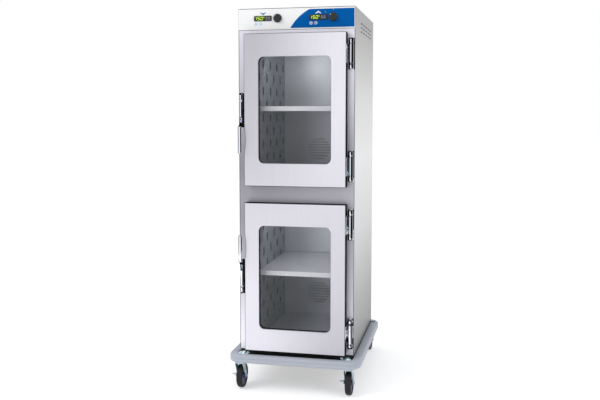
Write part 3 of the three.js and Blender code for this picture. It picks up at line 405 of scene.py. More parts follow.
def blacken_edges(made, lower, upper):
    """Makes the turned edges of two like doors black: near the outline, and deeper than the front face."""
    band = 0.02
    face_depth = 0.0015
    tree = made.node_tree
    place = own_place(tree)
    low, high = (corner * MM for corner in node_box(lower))
    between = (low.z + node_box(upper)[1].z * MM) / 2
    half_apart = between - (low.z + high.z) / 2
    at_side = far_from(tree, place["X"], (low.x + high.x) / 2, (high.x - low.x) / 2 - band)
    off_between = reckon(tree, "ABSOLUTE", reckon(tree, "SUBTRACT", place["Z"], between))
    at_end = far_from(tree, off_between, half_apart, (high.z - low.z) / 2 - band)
    behind = reckon(tree, "GREATER_THAN", place["Y"], low.y + face_depth)
    edge = reckon(tree, "MULTIPLY", reckon(tree, "MAXIMUM", at_side, at_end), behind)
    paint_over(tree, edge, (0.01, 0.01, 0.011, 1.0))


print("ducts and edges ready")

# %% Steel finishes
UPRIGHT = (300.0, 300.0, 6.0)
LENGTHWISE = (6.0, 6.0, 300.0)
BRUSHED = {"relief": 0.05, "depth": 0.0002}
door_steel = finish(
    "door_steel", (0.755, 0.74, 0.805), (0.785, 0.77, 0.835), UPRIGHT, (0.34, 0.40),
    metallic=0.75, **BRUSHED,
)
# Painted reflection: the doors are darker towards the upper left and towards the lower right.
paint_light_by_place(
    door_steel,
    [(0.2, 1.0), (0.55, 0.98), (0.95, 0.86), (1.08, 0.81), (1.45, 0.71), (1.8, 0.61)],
    [(0.2, 0.66), (0.55, 0.79), (0.95, 0.89), (1.08, 0.95), (1.45, 1.05), (1.8, 1.02)],
)
blacken_edges(door_steel, "lower_door_skin", "upper_door_skin")
frame_steel = finish(
    "frame_steel", (0.515, 0.505, 0.565), (0.545, 0.535, 0.595), UPRIGHT, (0.36, 0.44),
    metallic=0.6, **BRUSHED,
)
# Painted reflection and painted shade: the frame is lighter near the top and bottom and darker round the
# middle.
paint_light_by_place(
    frame_steel,
    [
        (0.22, 1.95), (0.36, 1.65), (0.6, 1.1), (0.88, 0.68), (1.0, 0.68), (1.16, 0.58), (1.38, 0.82),
        (1.69, 1.2), (1.84, 1.3),
    ],
    [
        (0.35, 1.3), (0.6, 1.1), (0.88, 0.8), (1.0, 0.9), (1.16, 0.9), (1.3, 1.0), (1.5, 1.5),
        (1.7, 1.75), (1.84, 1.45),
    ],
    right=0.29,
)
side_steel = finish(
    "side_steel", (0.61, 0.61, 0.612), (0.65, 0.65, 0.652), (5.0, 5.0, 300.0), (0.36, 0.46),
    metallic=0.85, relief=0.08, depth=0.0002,
)
# Painted light and shade: the sides are darker towards the bottom and the top, brightest a little above the
# middle.
paint_light_by_place(side_steel, [(0.25, 0.36), (0.45, 0.54), (0.85, 1.04), (1.2, 1.28), (1.5, 1.1), (1.9, 0.56)])
chamber_steel = finish(
    "chamber_steel", (0.855, 0.875, 0.93), (0.895, 0.915, 0.97), (200.0, 200.0, 8.0), (0.28, 0.38),
    metallic=0.2, **BRUSHED,
)
# Painted shade: the chambers' steel is darker on the left and lighter on the right.
paint_light_by_place(chamber_steel, even(0.62), even(1.06), left=-0.14, right=0.1)
# Painted shade: the walls behind the duct panels are near black.
paint_duct_shade(chamber_steel, "upper_left_duct_panel")
duct_steel = finish(
    "duct_steel", (0.48, 0.51, 0.565), (0.53, 0.56, 0.615), (200.0, 200.0, 40.0), (0.24, 0.34),
    metallic=0.3, **BRUSHED,
)
# Painted shade: the left duct panel is darker than the right one.
paint_light_by_place(duct_steel, even(0.58), even(1.2))
shelf_steel = finish(
    "shelf_steel", (0.72, 0.715, 0.76), (0.78, 0.775, 0.82), LENGTHWISE, (0.3, 0.4),
    metallic=0.4, **BRUSHED,
)
print("steel finishes:", 6)

# %% Other metals
chrome = finish("chrome", (0.75, 0.79, 0.85), (0.81, 0.85, 0.91), 40.0, (0.0, 0.0), metallic=1.0)
zinc = finish(
    "zinc", (0.34, 0.48, 0.52), (0.58, 0.70, 0.74), 55.0, (0.26, 0.40),
    metallic=0.6, relief=0.1, depth=0.0003,
)
bright_zinc = finish("bright_zinc", (0.58, 0.72, 0.75), (0.76, 0.88, 0.90), 55.0, (0.05, 0.1), metallic=1.0)
galvanised = finish(
    "galvanised", (0.54, 0.56, 0.57), (0.63, 0.65, 0.66), 70.0, (0.38, 0.50), metallic=1.0, detail=1.0
)
element_steel = finish(
    "element_steel", (0.12, 0.09, 0.08), (0.26, 0.2, 0.17), 90.0, (0.45, 0.6), metallic=1.0, relief=0.2
)
print("other metals:", 5)

# %% Print, plastic, rubber and paint
INK_ROUGH = (0.4, 0.5)
fascia_white = finish(
    "fascia_white", (0.96, 0.965, 0.97), (0.98, 0.985, 0.99), 900.0, (0.38, 0.5), relief=0.08
)
panel_blue = finish(
    "panel_blue", (0.001, 0.106, 0.39), (0.002, 0.12, 0.43), 900.0, (0.5, 0.6), Specular_IOR_Level=0.02
)
ink_blue = finish("ink_blue", (0.008, 0.12, 0.42), (0.012, 0.14, 0.47), 700.0, INK_ROUGH)
ink_sky = finish("ink_sky", (0.30, 0.58, 0.80), (0.36, 0.64, 0.86), 700.0, INK_ROUGH)
ink_white = finish("ink_white", (0.86, 0.88, 0.92), (0.92, 0.94, 0.97), 700.0, INK_ROUGH)
black_mould = finish(
    "black_mould", (0.009, 0.009, 0.011), (0.016, 0.016, 0.018), 800.0, (0.38, 0.52), relief=0.15
)
pan_black = finish(
    "pan_black", (0.008, 0.008, 0.009), (0.015, 0.015, 0.017), 800.0, (0.5, 0.65), relief=0.15,
    Specular_IOR_Level=0.0,
)
knob_black = finish(
    "knob_black", (0.007, 0.0065, 0.006), (0.013, 0.012, 0.011), 600.0, (0.18, 0.26), relief=0.05
)
gasket_rubber = finish(
    "gasket_rubber", (0.012, 0.012, 0.013), (0.022, 0.022, 0.024), 260.0, (0.6, 0.75), relief=0.2
)
black_paint = finish(
    "black_paint", (0.010, 0.010, 0.011), (0.017, 0.017, 0.018), 420.0, (0.42, 0.58), relief=0.25
)
print("print and dark finishes:", 10)

# %% Vinyl, tyre and wheel centre
bumper_vinyl = finish(
    "bumper_vinyl", (0.46, 0.495, 0.56), (0.51, 0.545, 0.61), 260.0, (0.46, 0.6), relief=0.2
)
# Painted light and shade: the bumper is darker in its groove, lightest towards its bottom and a little darker
# on top.
paint_light_by_place(
    bumper_vinyl, [(0.15, 1.1), (0.164, 1.05), (0.1655, 0.8), (0.169, 0.8), (0.171, 1.0), (0.186, 0.95)]
)
tyre_rubber = finish(
    "tyre_rubber", (0.007, 0.006, 0.008), (0.016, 0.014, 0.018), 120.0, (0.5, 0.65), relief=0.3,
    Specular_IOR_Level=0.3,
)
wheel_navy = finish(
    "wheel_navy", (0.010, 0.011, 0.075), (0.016, 0.018, 0.11), 160.0, (0.32, 0.42), relief=0.06
)
print("base finishes:", 3)

# %% [markdown]
# ## Glass
# A warming cabinet's window is a sealed double pane. What the eye sees is mostly the chamber behind it, with
# a faint grey veil. A nearly clear surface does that, and lets the lamps reach the chamber, which real
# refraction would not do without many more samples.

# %% Window glass and display glass
window_glass = finish(
    "window_glass", (0.30, 0.32, 0.33), (0.34, 0.36, 0.37), 3.0, (0.02, 0.05), Alpha=0.06, IOR=1.5
)
display_glass = finish("display_glass", (0.006, 0.007, 0.010), (0.012, 0.013, 0.018), 200.0, (0.08, 0.14))
lit_digit = finish(
    "lit_digit", (0.30, 0.50, 0.02), (0.42, 0.62, 0.03), 500.0, INK_ROUGH,
    Emission_Color=(0.50, 0.78, 0.03, 1.0), Emission_Strength=1.1,
)
button_grey = finish("button_grey", (0.20, 0.21, 0.24), (0.27, 0.28, 0.32), 500.0, INK_ROUGH)
print("glass alpha", window_glass.node_tree.nodes["Principled BSDF"].inputs["Alpha"].default_value)

# %% [markdown]
# ## Solids that stay
# Flat sheet work is right as it came: casing, frame, doors, chambers, shelves, forks. Each only needs its
# finish. The names tell which is which, so one table does it. Solids that get a new form further on are in
# the table too.

# %% Give the solids their finish
by_name = {
    "outer_casing": side_steel,
    "top_cover": side_steel,
    "rear_cover": galvanised,
    "cord_gland": black_mould,
    "front_frame": frame_steel,
    "control_fascia": fascia_white,
    "base_frame": black_paint,
    "bumper_rail": bumper_vinyl,
    "chamber_liner": chamber_steel,
    "duct_panel": duct_steel,
    "shelf": shelf_steel,
    "fan_motor": galvanised,
    "fan_wheel": galvanised,
    "heater": element_steel,
    "display": black_mould,
    "knob": knob_black,
    "door_skin": door_steel,
    "door_inner_pan": pan_black,
    "door_glass": window_glass,
    "door_gasket": gasket_rubber,
    "hinge_frame_leaf": chrome,
    "hinge_door_leaf": chrome,
    "latch_housing": chrome,
    "latch_lever": chrome,
    "caster_plate": zinc,
    "caster_fork": zinc,
    "caster_wheel": tyre_rubber,
    "caster_brake": zinc,
}
for name, solid in nodes.items():
    ending = next(part for part in by_name if name.endswith(part))
    solid.data.materials.clear()
    solid.data.materials.append(by_name[ending])
print("finished solids:", len(nodes))

# %% [markdown]
# ## Workshop tools
# The new pieces come from a few moves: turn an outline on a lathe, round off a block, cut a shape from
# sheet, and subtract one form from another. All of them work in millimetres. The last tool scales the
# result to metres, hands it a finish and lets it ride on a body.

# %% Lathe, block and sheet
def turned(outline, steps=48, ring=False):
    """A form turned round Z from pairs of radius and height. A ring closes on itself, others on the axis."""
    form = bmesh.new()
    outline = list(outline)
    if not ring and outline[0][0] > 0.0:
        outline.insert(0, (0.0, outline[0][1]))
    points = [form.verts.new((radius, 0.0, height)) for radius, height in outline]
    ends = points[1:] + points[:1] if ring else points[1:]
    edges = [form.edges.new(pair) for pair in zip(points, ends)]
    bmesh.ops.spin(
        form,
        geom=points + edges,
        cent=(0.0, 0.0, 0.0),
        axis=(0.0, 0.0, 1.0),
        angle=2.0 * math.pi,
        steps=steps,
        use_merge=True,
    )
    bmesh.ops.remove_doubles(form, verts=form.verts, dist=0.001)
    bmesh.ops.recalc_face_normals(form, faces=form.faces)
    return form


def rod(radius, low, high, steps):
    """A plain cylinder along Z."""
    return turned([(0.0, low), (radius, low), (radius, high), (0.0, high)], steps)


def soften(form, parts, reach, steps, affect):
    """Rounds off edges or corners of a form."""
    bmesh.ops.bevel(
        form,
        geom=parts,
        offset=reach,
        offset_type="OFFSET",
        segments=steps,
        profile=0.5,
        affect=affect,
        material=-1,
        clamp_overlap=affect == "EDGES",
    )


def block(low, high, rounding=0.0, steps=3):
    """A box between two corners, with its edges rounded."""
    form = bmesh.new()
    bmesh.ops.create_cube(form, size=1.0)
    low = Vector(low)
    high = Vector(high)
    size = Matrix.Diagonal((*(high - low), 1.0))
    bmesh.ops.transform(form, matrix=Matrix.Translation((low + high) / 2) @ size, verts=form.verts)
    if rounding:
        soften(form, form.edges[:], rounding, steps, "EDGES")
    return form


def rounded_flat(low, high, radius, z, steps=12):
    """A rounded rectangle at one height."""
    flat = bmesh.new()
    bmesh.ops.create_grid(flat, x_segments=1, y_segments=1, size=0.5)
    size = Matrix.Diagonal((high[0] - low[0], high[1] - low[1], 1.0, 1.0))
    middle = Matrix.Translation(((low[0] + high[0]) / 2, (low[1] + high[1]) / 2, z))
    bmesh.ops.transform(flat, matrix=middle @ size, verts=flat.verts)
    soften(flat, flat.verts[:], radius, steps, "VERTICES")
    return flat


def thicken(form, along):
    """Gives a flat form its thickness, along a vector."""
    raised = bmesh.ops.extrude_face_region(form, geom=form.faces[:])
    top = [part for part in raised["geom"] if isinstance(part, bmesh.types.BMVert)]
    bmesh.ops.translate(form, vec=along, verts=top)
    bmesh.ops.recalc_face_normals(form, faces=form.faces)
    return form


def cut_sheet(outline, thickness):
    """A shape drawn in X and Z on the plane y = 0, as thick as asked towards the front."""
    form = bmesh.new()
    form.faces.new([form.verts.new((x, 0.0, z)) for x, z in outline])
    return thicken(form, (0.0, -thickness, 0.0))


print("lathe, block and sheet ready")

# %% Placing, joining, carving
FACING_FRONT = Matrix.Rotation(math.radians(90), 4, "X")
ALONG_X = Matrix.Rotation(math.radians(90), 4, "Y")


def swung(form, turn):
    """Turns or stretches a form about its own origin."""
    bmesh.ops.transform(form, matrix=turn, verts=form.verts)
    return form


def placed(form, x, y, z, turn=None):
    """Moves a form to its place, after a turn if there is one."""
    move = Matrix.Translation((x, y, z))
    return swung(form, move @ turn if turn else move)


def pour(form, whole):
    """Adds a form to a whole, and frees the form."""
    step = bpy.data.meshes.new("step")
    form.to_mesh(step)
    form.free()
    whole.from_mesh(step)
    bpy.data.meshes.remove(step)


def joined(*forms):
    """Several forms in one."""
    whole = bmesh.new()
    for form in forms:
        pour(form, whole)
    return whole


def carved(form, *cutters):
    """The form with the cutters taken out of it."""
    blank = as_object(form, "blank")
    tools = [as_object(cutter, "cutter") for cutter in cutters]
    for tool in tools:
        cut = blank.modifiers.new("cut", "BOOLEAN")
        cut.operation = "DIFFERENCE"
        cut.solver = "EXACT"
        cut.object = tool
    bpy.context.view_layer.update()
    result = blank.evaluated_get(bpy.context.evaluated_depsgraph_get())
    left = bmesh.new()
    left.from_mesh(result.to_mesh())
    result.to_mesh_clear()
    for part in (blank, *tools):
        mesh = part.data
        bpy.data.objects.remove(part)
        bpy.data.meshes.remove(mesh)
    return left


def piece(name, form, material, body, stands_for=(), crease=35.0):
    """Scales a form to metres and makes it a piece of the cabinet that rides on a body."""
    bmesh.ops.scale(form, vec=(MM, MM, MM), verts=form.verts)
    made = as_object(form, name)
    made.data.materials.append(material)
    made.data.polygons.foreach_set("use_smooth", [True] * len(made.data.polygons))
    made.data.set_sharp_from_angle(angle=math.radians(crease))
    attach(made, body)
    if stands_for:
        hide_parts(*stands_for)
    return made


print("tools ready")

# %% [markdown]
# ## Bumper
# A vinyl extrusion wrapped round the base: flat top, full-round outer edges, a shallow groove along the
# middle and a lip that hides the caster plates. It could be a curve with a bevel profile, but the inner
# opening has tighter corners than the outside. So it is drawn as a stack of rounded rectangles, each bridged
# to the next.

# %% Bumper
def rounded_loop(form, low, high, radius, z):
    """Adds only the edges of a rounded rectangle to a form."""
    flat = rounded_flat(low, high, radius, z)
    bmesh.ops.delete(flat, geom=flat.faces[:], context="FACES_ONLY")
    known = set(form.edges)
    pour(flat, form)
    return [edge for edge in form.edges if edge not in known]


def bumper_form():
    """The bumper, from pairs of inset and height outside and of outset and height inside."""
    low, high = node_box("bumper_rail")
    tall = high.z - low.z
    lip = 8.0
    side_rail = 44.0
    end_rail = 38.0
    corner = 68.0
    inner_corner = 30.0
    outside = [
        (lip, lip), (lip, 1.0), (7.2, 0.2), (6.2, 0.2), (3.0, 2.2), (0.9, 5.6), (0.02, 9.6), (0.02, 16.4),
        (1.5, 17.4), (1.5, 22.6), (0.02, 23.6), (0.02, 30.0), (0.9, 33.8), (3.0, 37.2), (6.5, 39.2),
        (11.0, tall),
    ]
    inside = [(3.0, tall), (0.9, tall - 0.9), (0.0, tall - 3.0), (0.0, lip + 1.0), (1.0, lip)]
    form = bmesh.new()
    loops = []
    for inset, up in outside:
        near = (low.x + inset, low.y + inset)
        far = (high.x - inset, high.y - inset)
        loops.append(rounded_loop(form, near, far, corner - inset, low.z + up))
    for outset, up in inside:
        near = (low.x + side_rail - outset, low.y + end_rail - outset)
        far = (high.x - side_rail + outset, high.y - end_rail + outset)
        loops.append(rounded_loop(form, near, far, inner_corner + outset, low.z + up))
    for first, second in zip(loops, loops[1:] + loops[:1]):
        bmesh.ops.bridge_loops(form, edges=first + second)
    bmesh.ops.recalc_face_normals(form, faces=form.faces)
    return form


bumper = piece("bumper", bumper_form(), bumper_vinyl, "cabinet", ["bumper_rail"], crease=50.0)
print("bumper faces:", len(bumper.data.polygons))

# %% [markdown]
# ## Wheels
# Each wheel is a rubber tyre on a moulded blue centre. Both are lathe work: an outline of radius and width,
# spun round the axle. The tyre's outline is nearly flat on the tread with soft shoulders, and the centre is
# dished so that only its hub reaches the fork.

# %% Tyres and wheel centres
def two_sided(half):
    """A closed outline from one half of it: pairs of radius and half width."""
    return [(r, -w) for r, w in half] + [(r, w) for r, w in reversed(half)]


tyre_outline = two_sided([
    (46.5, 11.5), (48.5, 13.6), (52.0, 15.4), (55.5, 16.0), (58.6, 15.2), (61.2, 12.8), (62.8, 9.4),
    (63.5, 5.0),
])
centre_outline = two_sided([
    (6.6, 17.9), (12.5, 17.9), (14.2, 17.0), (15.4, 14.6), (17.6, 10.2), (21.0, 8.6), (38.0, 8.6),
    (42.0, 9.6), (44.6, 12.0), (46.5, 12.2),
])
for corner in CORNERS:
    axle = pivot[f"{corner}_caster_roll"]
    body = f"{corner}_wheel"
    tyre = placed(turned(tyre_outline, 72, ring=True), *axle, ALONG_X)
    piece(f"{corner}_tyre", tyre, tyre_rubber, body, [f"{corner}_caster_wheel"], crease=45.0)
    centre = placed(turned(centre_outline, 72, ring=True), *axle, ALONG_X)
    piece(f"{corner}_wheel_centre", centre, wheel_navy, body, crease=50.0)
print("wheels:", len(CORNERS))

# %% [markdown]
# ## Hinges
# Edge-mount hinges with a fat barrel: the door carries the long middle knuckle, the frame carries a knuckle
# with a domed cap at each end. Barrels are turned, leaves are rounded plates. They are chrome, so a few more
# steps on the lathe matter more here than on any other piece.

# %% Hinges
BARREL = 14.0
BARREL_STEPS = 56
HINGE_PIN = 4.0


def hinge_frame_form(half):
    """The part on the frame: two capped knuckles on a pin, a leaf, and a web behind each knuckle."""
    cap = [
        (0.0, 47.4), (11.4, 47.4), (11.4, 50.0), (12.6, 53.0), (13.7, 56.6), (BARREL, 60.0),
        (BARREL, 68.0), (13.4, 71.6), (11.8, 74.8), (9.0, 77.0), (5.0, 77.9), (0.0, half),
    ]
    top = turned(cap, BARREL_STEPS)
    bottom = swung(turned(cap, BARREL_STEPS), Matrix.Rotation(math.pi, 4, "X"))
    leaf = block((-16.3, 18.7, -half), (BARREL, 21.7, half), 1.2, 2)
    webs = [block((-10.5, 1.0, z - 7.0), (10.5, 20.0, z + 7.0), 2.0, 2) for z in (-64.0, 64.0)]
    pin = rod(HINGE_PIN, -50.0, 50.0, 24)
    return joined(top, bottom, leaf, pin, *webs)


def hinge_door_form(half):
    """The part on the door: the middle knuckle, a neck, and a plate screwed to the door's edge."""
    bore = HINGE_PIN + 0.8
    rim = BARREL - 1.2
    outline = [
        (bore, -half), (rim, -half), (BARREL, 1.4 - half), (BARREL, half - 1.4), (rim, half), (bore, half),
    ]
    barrel = turned(outline, BARREL_STEPS, ring=True)
    plate = block((-19.7, -33.2, -half), (-16.7, 7.0, half), 1.0, 2)
    neck = block((-19.0, -2.0, -half + 0.6), (-6.0, 5.0, half - 0.6), 1.6, 2)
    head = [(3.8, 0.0), (3.6, 0.7), (2.6, 1.3), (0.0, 1.6)]
    screws = [placed(turned(head, 20), -16.8, -24.0, z, ALONG_X) for z in (-32.0, 0.0, 32.0)]
    return joined(barrel, plate, neck, *screws)


for level in LEVELS:
    axis = pivot[f"{level}_door_hinge"]
    for end in ("bottom", "top"):
        hinge = f"{level}_{end}_hinge"
        frame_leaf = f"{hinge}_frame_leaf"
        door_leaf = f"{hinge}_door_leaf"
        low, high = node_box(frame_leaf)
        middle = (low.z + high.z) / 2
        fixed = placed(hinge_frame_form((high.z - low.z) / 2), axis.x, axis.y, middle)
        piece(f"{hinge}_caps", fixed, chrome, "cabinet", [frame_leaf], crease=40.0)
        low, high = node_box(door_leaf)
        moving = placed(hinge_door_form((high.z - low.z) / 2), axis.x, axis.y, middle)
        piece(f"{hinge}_barrel", moving, chrome, f"{level}_door", [door_leaf], crease=40.0)
print("hinges:", 2 * len(LEVELS))

# %% [markdown]
# ## Latches
# A chrome housing on the door's edge, seated on a black plastic base, and a chrome lever that reaches past
# the housing's end and turns on a pin inside it. The housing is a rectangle with rounded ends, given
# thickness and a rounded front, then slotted for the lever and notched near its other end. The lever's grip
# is an oval rod.

# %% Latch forms
LATCH_PIN = 4.0
PIN_Y = -39.5
PIN_Z = 44.0
# Lays what is drawn in X and Y upright, in Y and Z.
STAND_UP = Matrix(((0, 0, 1, 0), (1, 0, 0, 0), (0, 1, 0, 0), (0, 0, 0, 1)))


def capsule(low, high, rounding, near, far, edge):
    """A shape with rounded ends drawn in Y and Z, carried along X, with softened edges."""
    form = swung(rounded_flat(low, high, rounding, near, 10), STAND_UP)
    thicken(form, (far - near, 0.0, 0.0))
    rims = [line for line in form.edges if line.calc_face_angle(0.0) > math.radians(60)]
    soften(form, rims, edge, 5, "EDGES")
    return form


def bent(bend, steps):
    """Points on the smooth curve that a corner point pulls between two ends."""
    points = []
    for step in range(steps + 1):
        t = step / steps
        weights = ((1 - t) ** 2, 2 * t * (1 - t), t * t)
        points.append(tuple(sum(w * p[k] for w, p in zip(weights, bend)) for k in (0, 1)))
    return points


def lever_form(side):
    """The lever round the housing's middle, with its grip towards side along Z."""
    thick = 10.0
    eye_radius = 10.0
    curve = bent([(-34.5, 64.0), (-81.0, 90.0), (-81.0, 110.0)], 6)
    round_end = [math.radians(turn) for turn in range(180, 361, 12)]
    eye_shape = [(PIN_Y + eye_radius * math.cos(a), PIN_Z + eye_radius * math.sin(a)) for a in round_end]
    outline = [*curve, (-91.0, 110.0), (-91.0, 80.0), *eye_shape]
    arm = bmesh.new()
    arm.faces.new([arm.verts.new((-thick / 2, y, side * z)) for y, z in outline])
    thicken(arm, (thick, 0.0, 0.0))
    bore = placed(rod(LATCH_PIN + 0.5, -8.0, 8.0, 32), 0.0, PIN_Y, side * PIN_Z, ALONG_X)
    low, high = sorted((side * 80.0, side * 218.0))
    end = [(0.0, 0.0), (5.4, 0.0), (8.0, 1.2), (9.1, 3.4), (9.5, 7.0)]
    grip_outline = [(r, low + up) for r, up in end] + [(r, high - up) for r, up in reversed(end)]
    oval = Matrix.Diagonal((1.0, 0.68, 1.0, 1.0))
    grip = placed(turned(grip_outline, 44), 0.0, -87.5, 0.0, oval)
    return joined(carved(arm, bore), grip)


def housing_form(side):
    """The housing's shell with the slot for the lever, the notch and the lever's pin."""
    shell = capsule((-67.0, -90.0), (-12.0, 90.0), 18.0, -10.5, 7.0, 8.2)
    low, high = sorted((side * 33.2, side * 91.0))
    slot = block((-5.5, -69.0, low), (5.5, -28.7, high))
    notch = block((-12.0, -4.6, -4.6), (9.0, 4.6, 4.6))
    placed(notch, 0.0, -67.0, -side * 48.0, Matrix.Rotation(math.radians(45), 4, "X"))
    pin = placed(rod(LATCH_PIN, -9.0, 6.0, 24), 0.0, PIN_Y, side * PIN_Z, ALONG_X)
    return joined(carved(shell, slot, notch), pin)


print("latch forms ready")

# %% Latches
for level, side in zip(LEVELS, (1, -1)):
    housing = f"{level}_latch_housing"
    low, high = node_box(housing)
    seat = (low.x + 10.5, front_plane, (low.z + high.z) / 2)
    door = f"{level}_door"
    shell = placed(housing_form(side), *seat)
    piece(f"{level}_latch_shell", shell, chrome, door, [housing], crease=40.0)
    base = placed(capsule((-62.0, -87.0), (-13.0, 87.0), 16.0, 6.0, 14.4, 1.5), *seat)
    piece(f"{level}_latch_base", base, pan_black, door, crease=40.0)
    lever = placed(lever_form(side), *seat)
    piece(f"{level}_lever", lever, chrome, f"{level}_latch", [f"{level}_latch_lever"], crease=40.0)
print("latches:", len(LEVELS))

# %% [markdown]
# ## Knobs
# Rotary switch knobs with a finger bar that leans to the left, and a white dot at its upper end. The skirt is
# turned and the bar is a rounded block. A knob's dot rides with it, so it shows where the switch points.

# %% Knobs
SKIRT = [
    (0.0, 0.0), (21.9, 0.0), (21.9, 1.4), (21.3, 2.0), (21.3, 5.4), (20.7, 6.9), (19.2, 7.8), (17.0, 8.0),
    (0.0, 8.0),
]
LEAN = Matrix.Rotation(math.radians(-45), 4, "Y")
knob_seat = front_plane - 2.6
for level in LEVELS:
    axis = pivot[f"{level}_switch_turn"]
    body = f"{level}_switch"
    skirt = swung(turned(SKIRT, 64), FACING_FRONT)
    bar = swung(block((-5.4, -17.0, -20.2), (5.4, -5.0, 20.2), 2.4, 4), LEAN)
    spindle = swung(rod(3.0, -10.0, 2.0, 20), FACING_FRONT)
    whole = placed(joined(skirt, bar, spindle), axis.x, knob_seat, axis.z)
    piece(f"{level}_switch_knob", whole, knob_black, body, [f"{level}_knob"], crease=40.0)
    dot = placed(turned([(1.9, 0.0), (1.8, 0.25), (0.0, 0.3)], 20), 0.0, -16.95, 15.5, FACING_FRONT)
    placed(dot, axis.x, knob_seat, axis.z, LEAN)
    piece(f"{level}_knob_dot", dot, ink_white, body, crease=60.0)
print("knobs:", len(LEVELS))

# %% [markdown]
# ## Control panel print
# The panel is a white film with a blue field that starts in a long arc, and a few printed signs: an arrow
# for each chamber, two round signs under each display and a mark for each switch position. Printed film is
# thin, so each is a real sheet of 0.15 mm on the panel. The arc is a large disc cut off at its middle,
# carried on to the right, and trimmed above and below. Painted shade: black strips along the panel's long
# edges and down the corners of the frame below it stand for the shadow lines at these joints.

# %% Blue field
FILM = 0.15
panel_low, panel_high = node_box("control_fascia")
panel_face = panel_low.y


def trimmed(form, point, outward):
    """Cuts away what lies beyond a plane."""
    everything = form.verts[:] + form.edges[:] + form.faces[:]
    bmesh.ops.bisect_plane(form, geom=everything, plane_co=point, plane_no=outward, clear_outer=True)


def blue_field():
    """The field as a solid film: an arc on the left, straight above, below and on the right."""
    centre_x = 168.0
    centre_z = 1741.5
    form = bmesh.new()
    bmesh.ops.create_circle(form, cap_ends=True, radius=226.8, segments=360)
    placed(form, centre_x, 0.0, centre_z, FACING_FRONT)
    trimmed(form, (centre_x, 0.0, 0.0), (1.0, 0.0, 0.0))
    straight = [edge for edge in form.edges if all(abs(v.co.x - centre_x) < 0.01 for v in edge.verts)]
    carried = bmesh.ops.extrude_edge_only(form, edges=straight)
    ends = [part for part in carried["geom"] if isinstance(part, bmesh.types.BMVert)]
    bmesh.ops.translate(form, vec=(panel_high.x - 2.0 - centre_x, 0.0, 0.0), verts=ends)
    trimmed(form, (0.0, 0.0, panel_high.z - 6.6), (0.0, 0.0, 1.0))
    trimmed(form, (0.0, 0.0, panel_low.z + 5.4), (0.0, 0.0, -1.0))
    return placed(thicken(form, (0.0, -FILM, 0.0)), 0.0, panel_face, 0.0)


inset = 2.5
through = 3.0
low, high = node_box("upper_display")
near = (low.x + inset, panel_face - through, low.z + inset)
far = (high.x - inset, panel_face + through, high.z - inset)
window = block(near, far)
axis = pivot["upper_switch_turn"]
spindle_hole = placed(rod(4.5, -through, through, 32), axis.x, panel_face, axis.z, FACING_FRONT)
field = carved(blue_field(), window, spindle_hole)
piece("blue_field", field, panel_blue, "cabinet", crease=30.0)
print("panel face at y =", round(panel_face, 2))

# %% Painted shadow lines
# Painted shade: dark strips under and over the panel and down the frame's corners stand for shadow lines.
SHADOW_LINE_FRONT = front_plane - 1.4
SHADOW_LINE_BACK = front_plane - 0.1
deck_top = node_box("base_frame")[1].z
top_z = node_box("top_cover")[1].z
strips = [
    block((panel_low.x, SHADOW_LINE_FRONT, bottom), (panel_high.x, SHADOW_LINE_BACK, top), 0.3, 1)
    for bottom, top in ((panel_low.z - 1.6, panel_low.z - 0.1), (top_z - 2.4, top_z - 0.1))
]
for near, far in ((-299.8, -297.6), (297.6, 299.8)):
    strips.append(block((near, front_plane - 0.7, deck_top + 1.0), (far, SHADOW_LINE_BACK, panel_low.z - 2.0)))
piece("painted_shadow_lines", joined(*strips), gasket_rubber, "cabinet", crease=40.0)
print("painted shadow lines:", len(strips))

# %% Arrows, round signs and switch marks
def flat_ring(inner, outer, steps):
    """A printed ring, as thick as the film."""
    return turned([(inner, 0.0), (outer, 0.0), (outer, FILM), (inner, FILM)], steps, ring=True)


def arrow(x, z, way):
    """A broad arrowhead that points up or down."""
    outline = [(-15.5, -7.0), (0.0, -1.5), (15.5, -7.0), (13.5, -3.0), (0.0, 7.5), (-13.5, -3.0)]
    return placed(cut_sheet([(px, pz * way) for px, pz in outline], FILM), x, 0.0, z)


def round_sign(x, z, kind):
    """A ring with four fan blades or three upright bars of heat in it."""
    if kind == "fan":
        blade = [(-1.2, 1.6), (-2.4, 5.4), (2.4, 5.4), (1.2, 1.6)]
        quarters = [Matrix.Rotation(quarter * math.pi / 2, 4, "Y") for quarter in range(4)]
        marks = [swung(cut_sheet(blade, FILM), quarter) for quarter in quarters]
    else:
        bar = [(-0.8, -4.0), (0.8, -4.0), (0.8, 4.0), (-0.8, 4.0)]
        marks = [placed(cut_sheet(bar, FILM), across, 0.0, 0.0) for across in (-3.4, 0.0, 3.4)]
    ring = swung(flat_ring(7.0, 8.4, 40), FACING_FRONT)
    return placed(joined(ring, *marks), x, 0.0, z)


inks = {"lower": (ink_blue, ink_sky, -1), "upper": (ink_white, ink_white, 1)}
for level, (arrow_ink, sign_ink, way) in inks.items():
    low, high = node_box(f"{level}_display")
    axis = pivot[f"{level}_switch_turn"]
    under = panel_face if level == "lower" else panel_face - FILM
    sign = placed(arrow(low.x + 47.0, high.z + 11.0, way), 0.0, under, 0.0)
    piece(f"{level}_arrow", sign, arrow_ink, "cabinet", crease=30.0)
    sign_z = low.z - 15.0
    rounds = joined(round_sign(low.x + 10.0, sign_z, "fan"), round_sign(low.x + 34.0, sign_z, "heat"))
    placed(rounds, 0.0, under, 0.0)
    piece(f"{level}_round_signs", rounds, sign_ink, "cabinet", crease=30.0)
    marks = [
        placed(rod(1.7, 0.0, FILM, 20), axis.x + x, under, axis.z + z, FACING_FRONT)
        for x, z in ((-38.0, 25.0), (1.0, 36.5))
    ]
    piece(f"{level}_switch_marks", joined(*marks), sign_ink, "cabinet", crease=30.0)
print("sets of signs on the panel:", 3 * len(LEVELS))

# %% [markdown]
# ## Displays
# Each display is a dark glass pane in a black bezel, with lit yellow-green digits and four keys beside them.
# The digits are the usual seven bars. Each bar is one small six-sided sheet, and a table says which bars a
# digit lights.

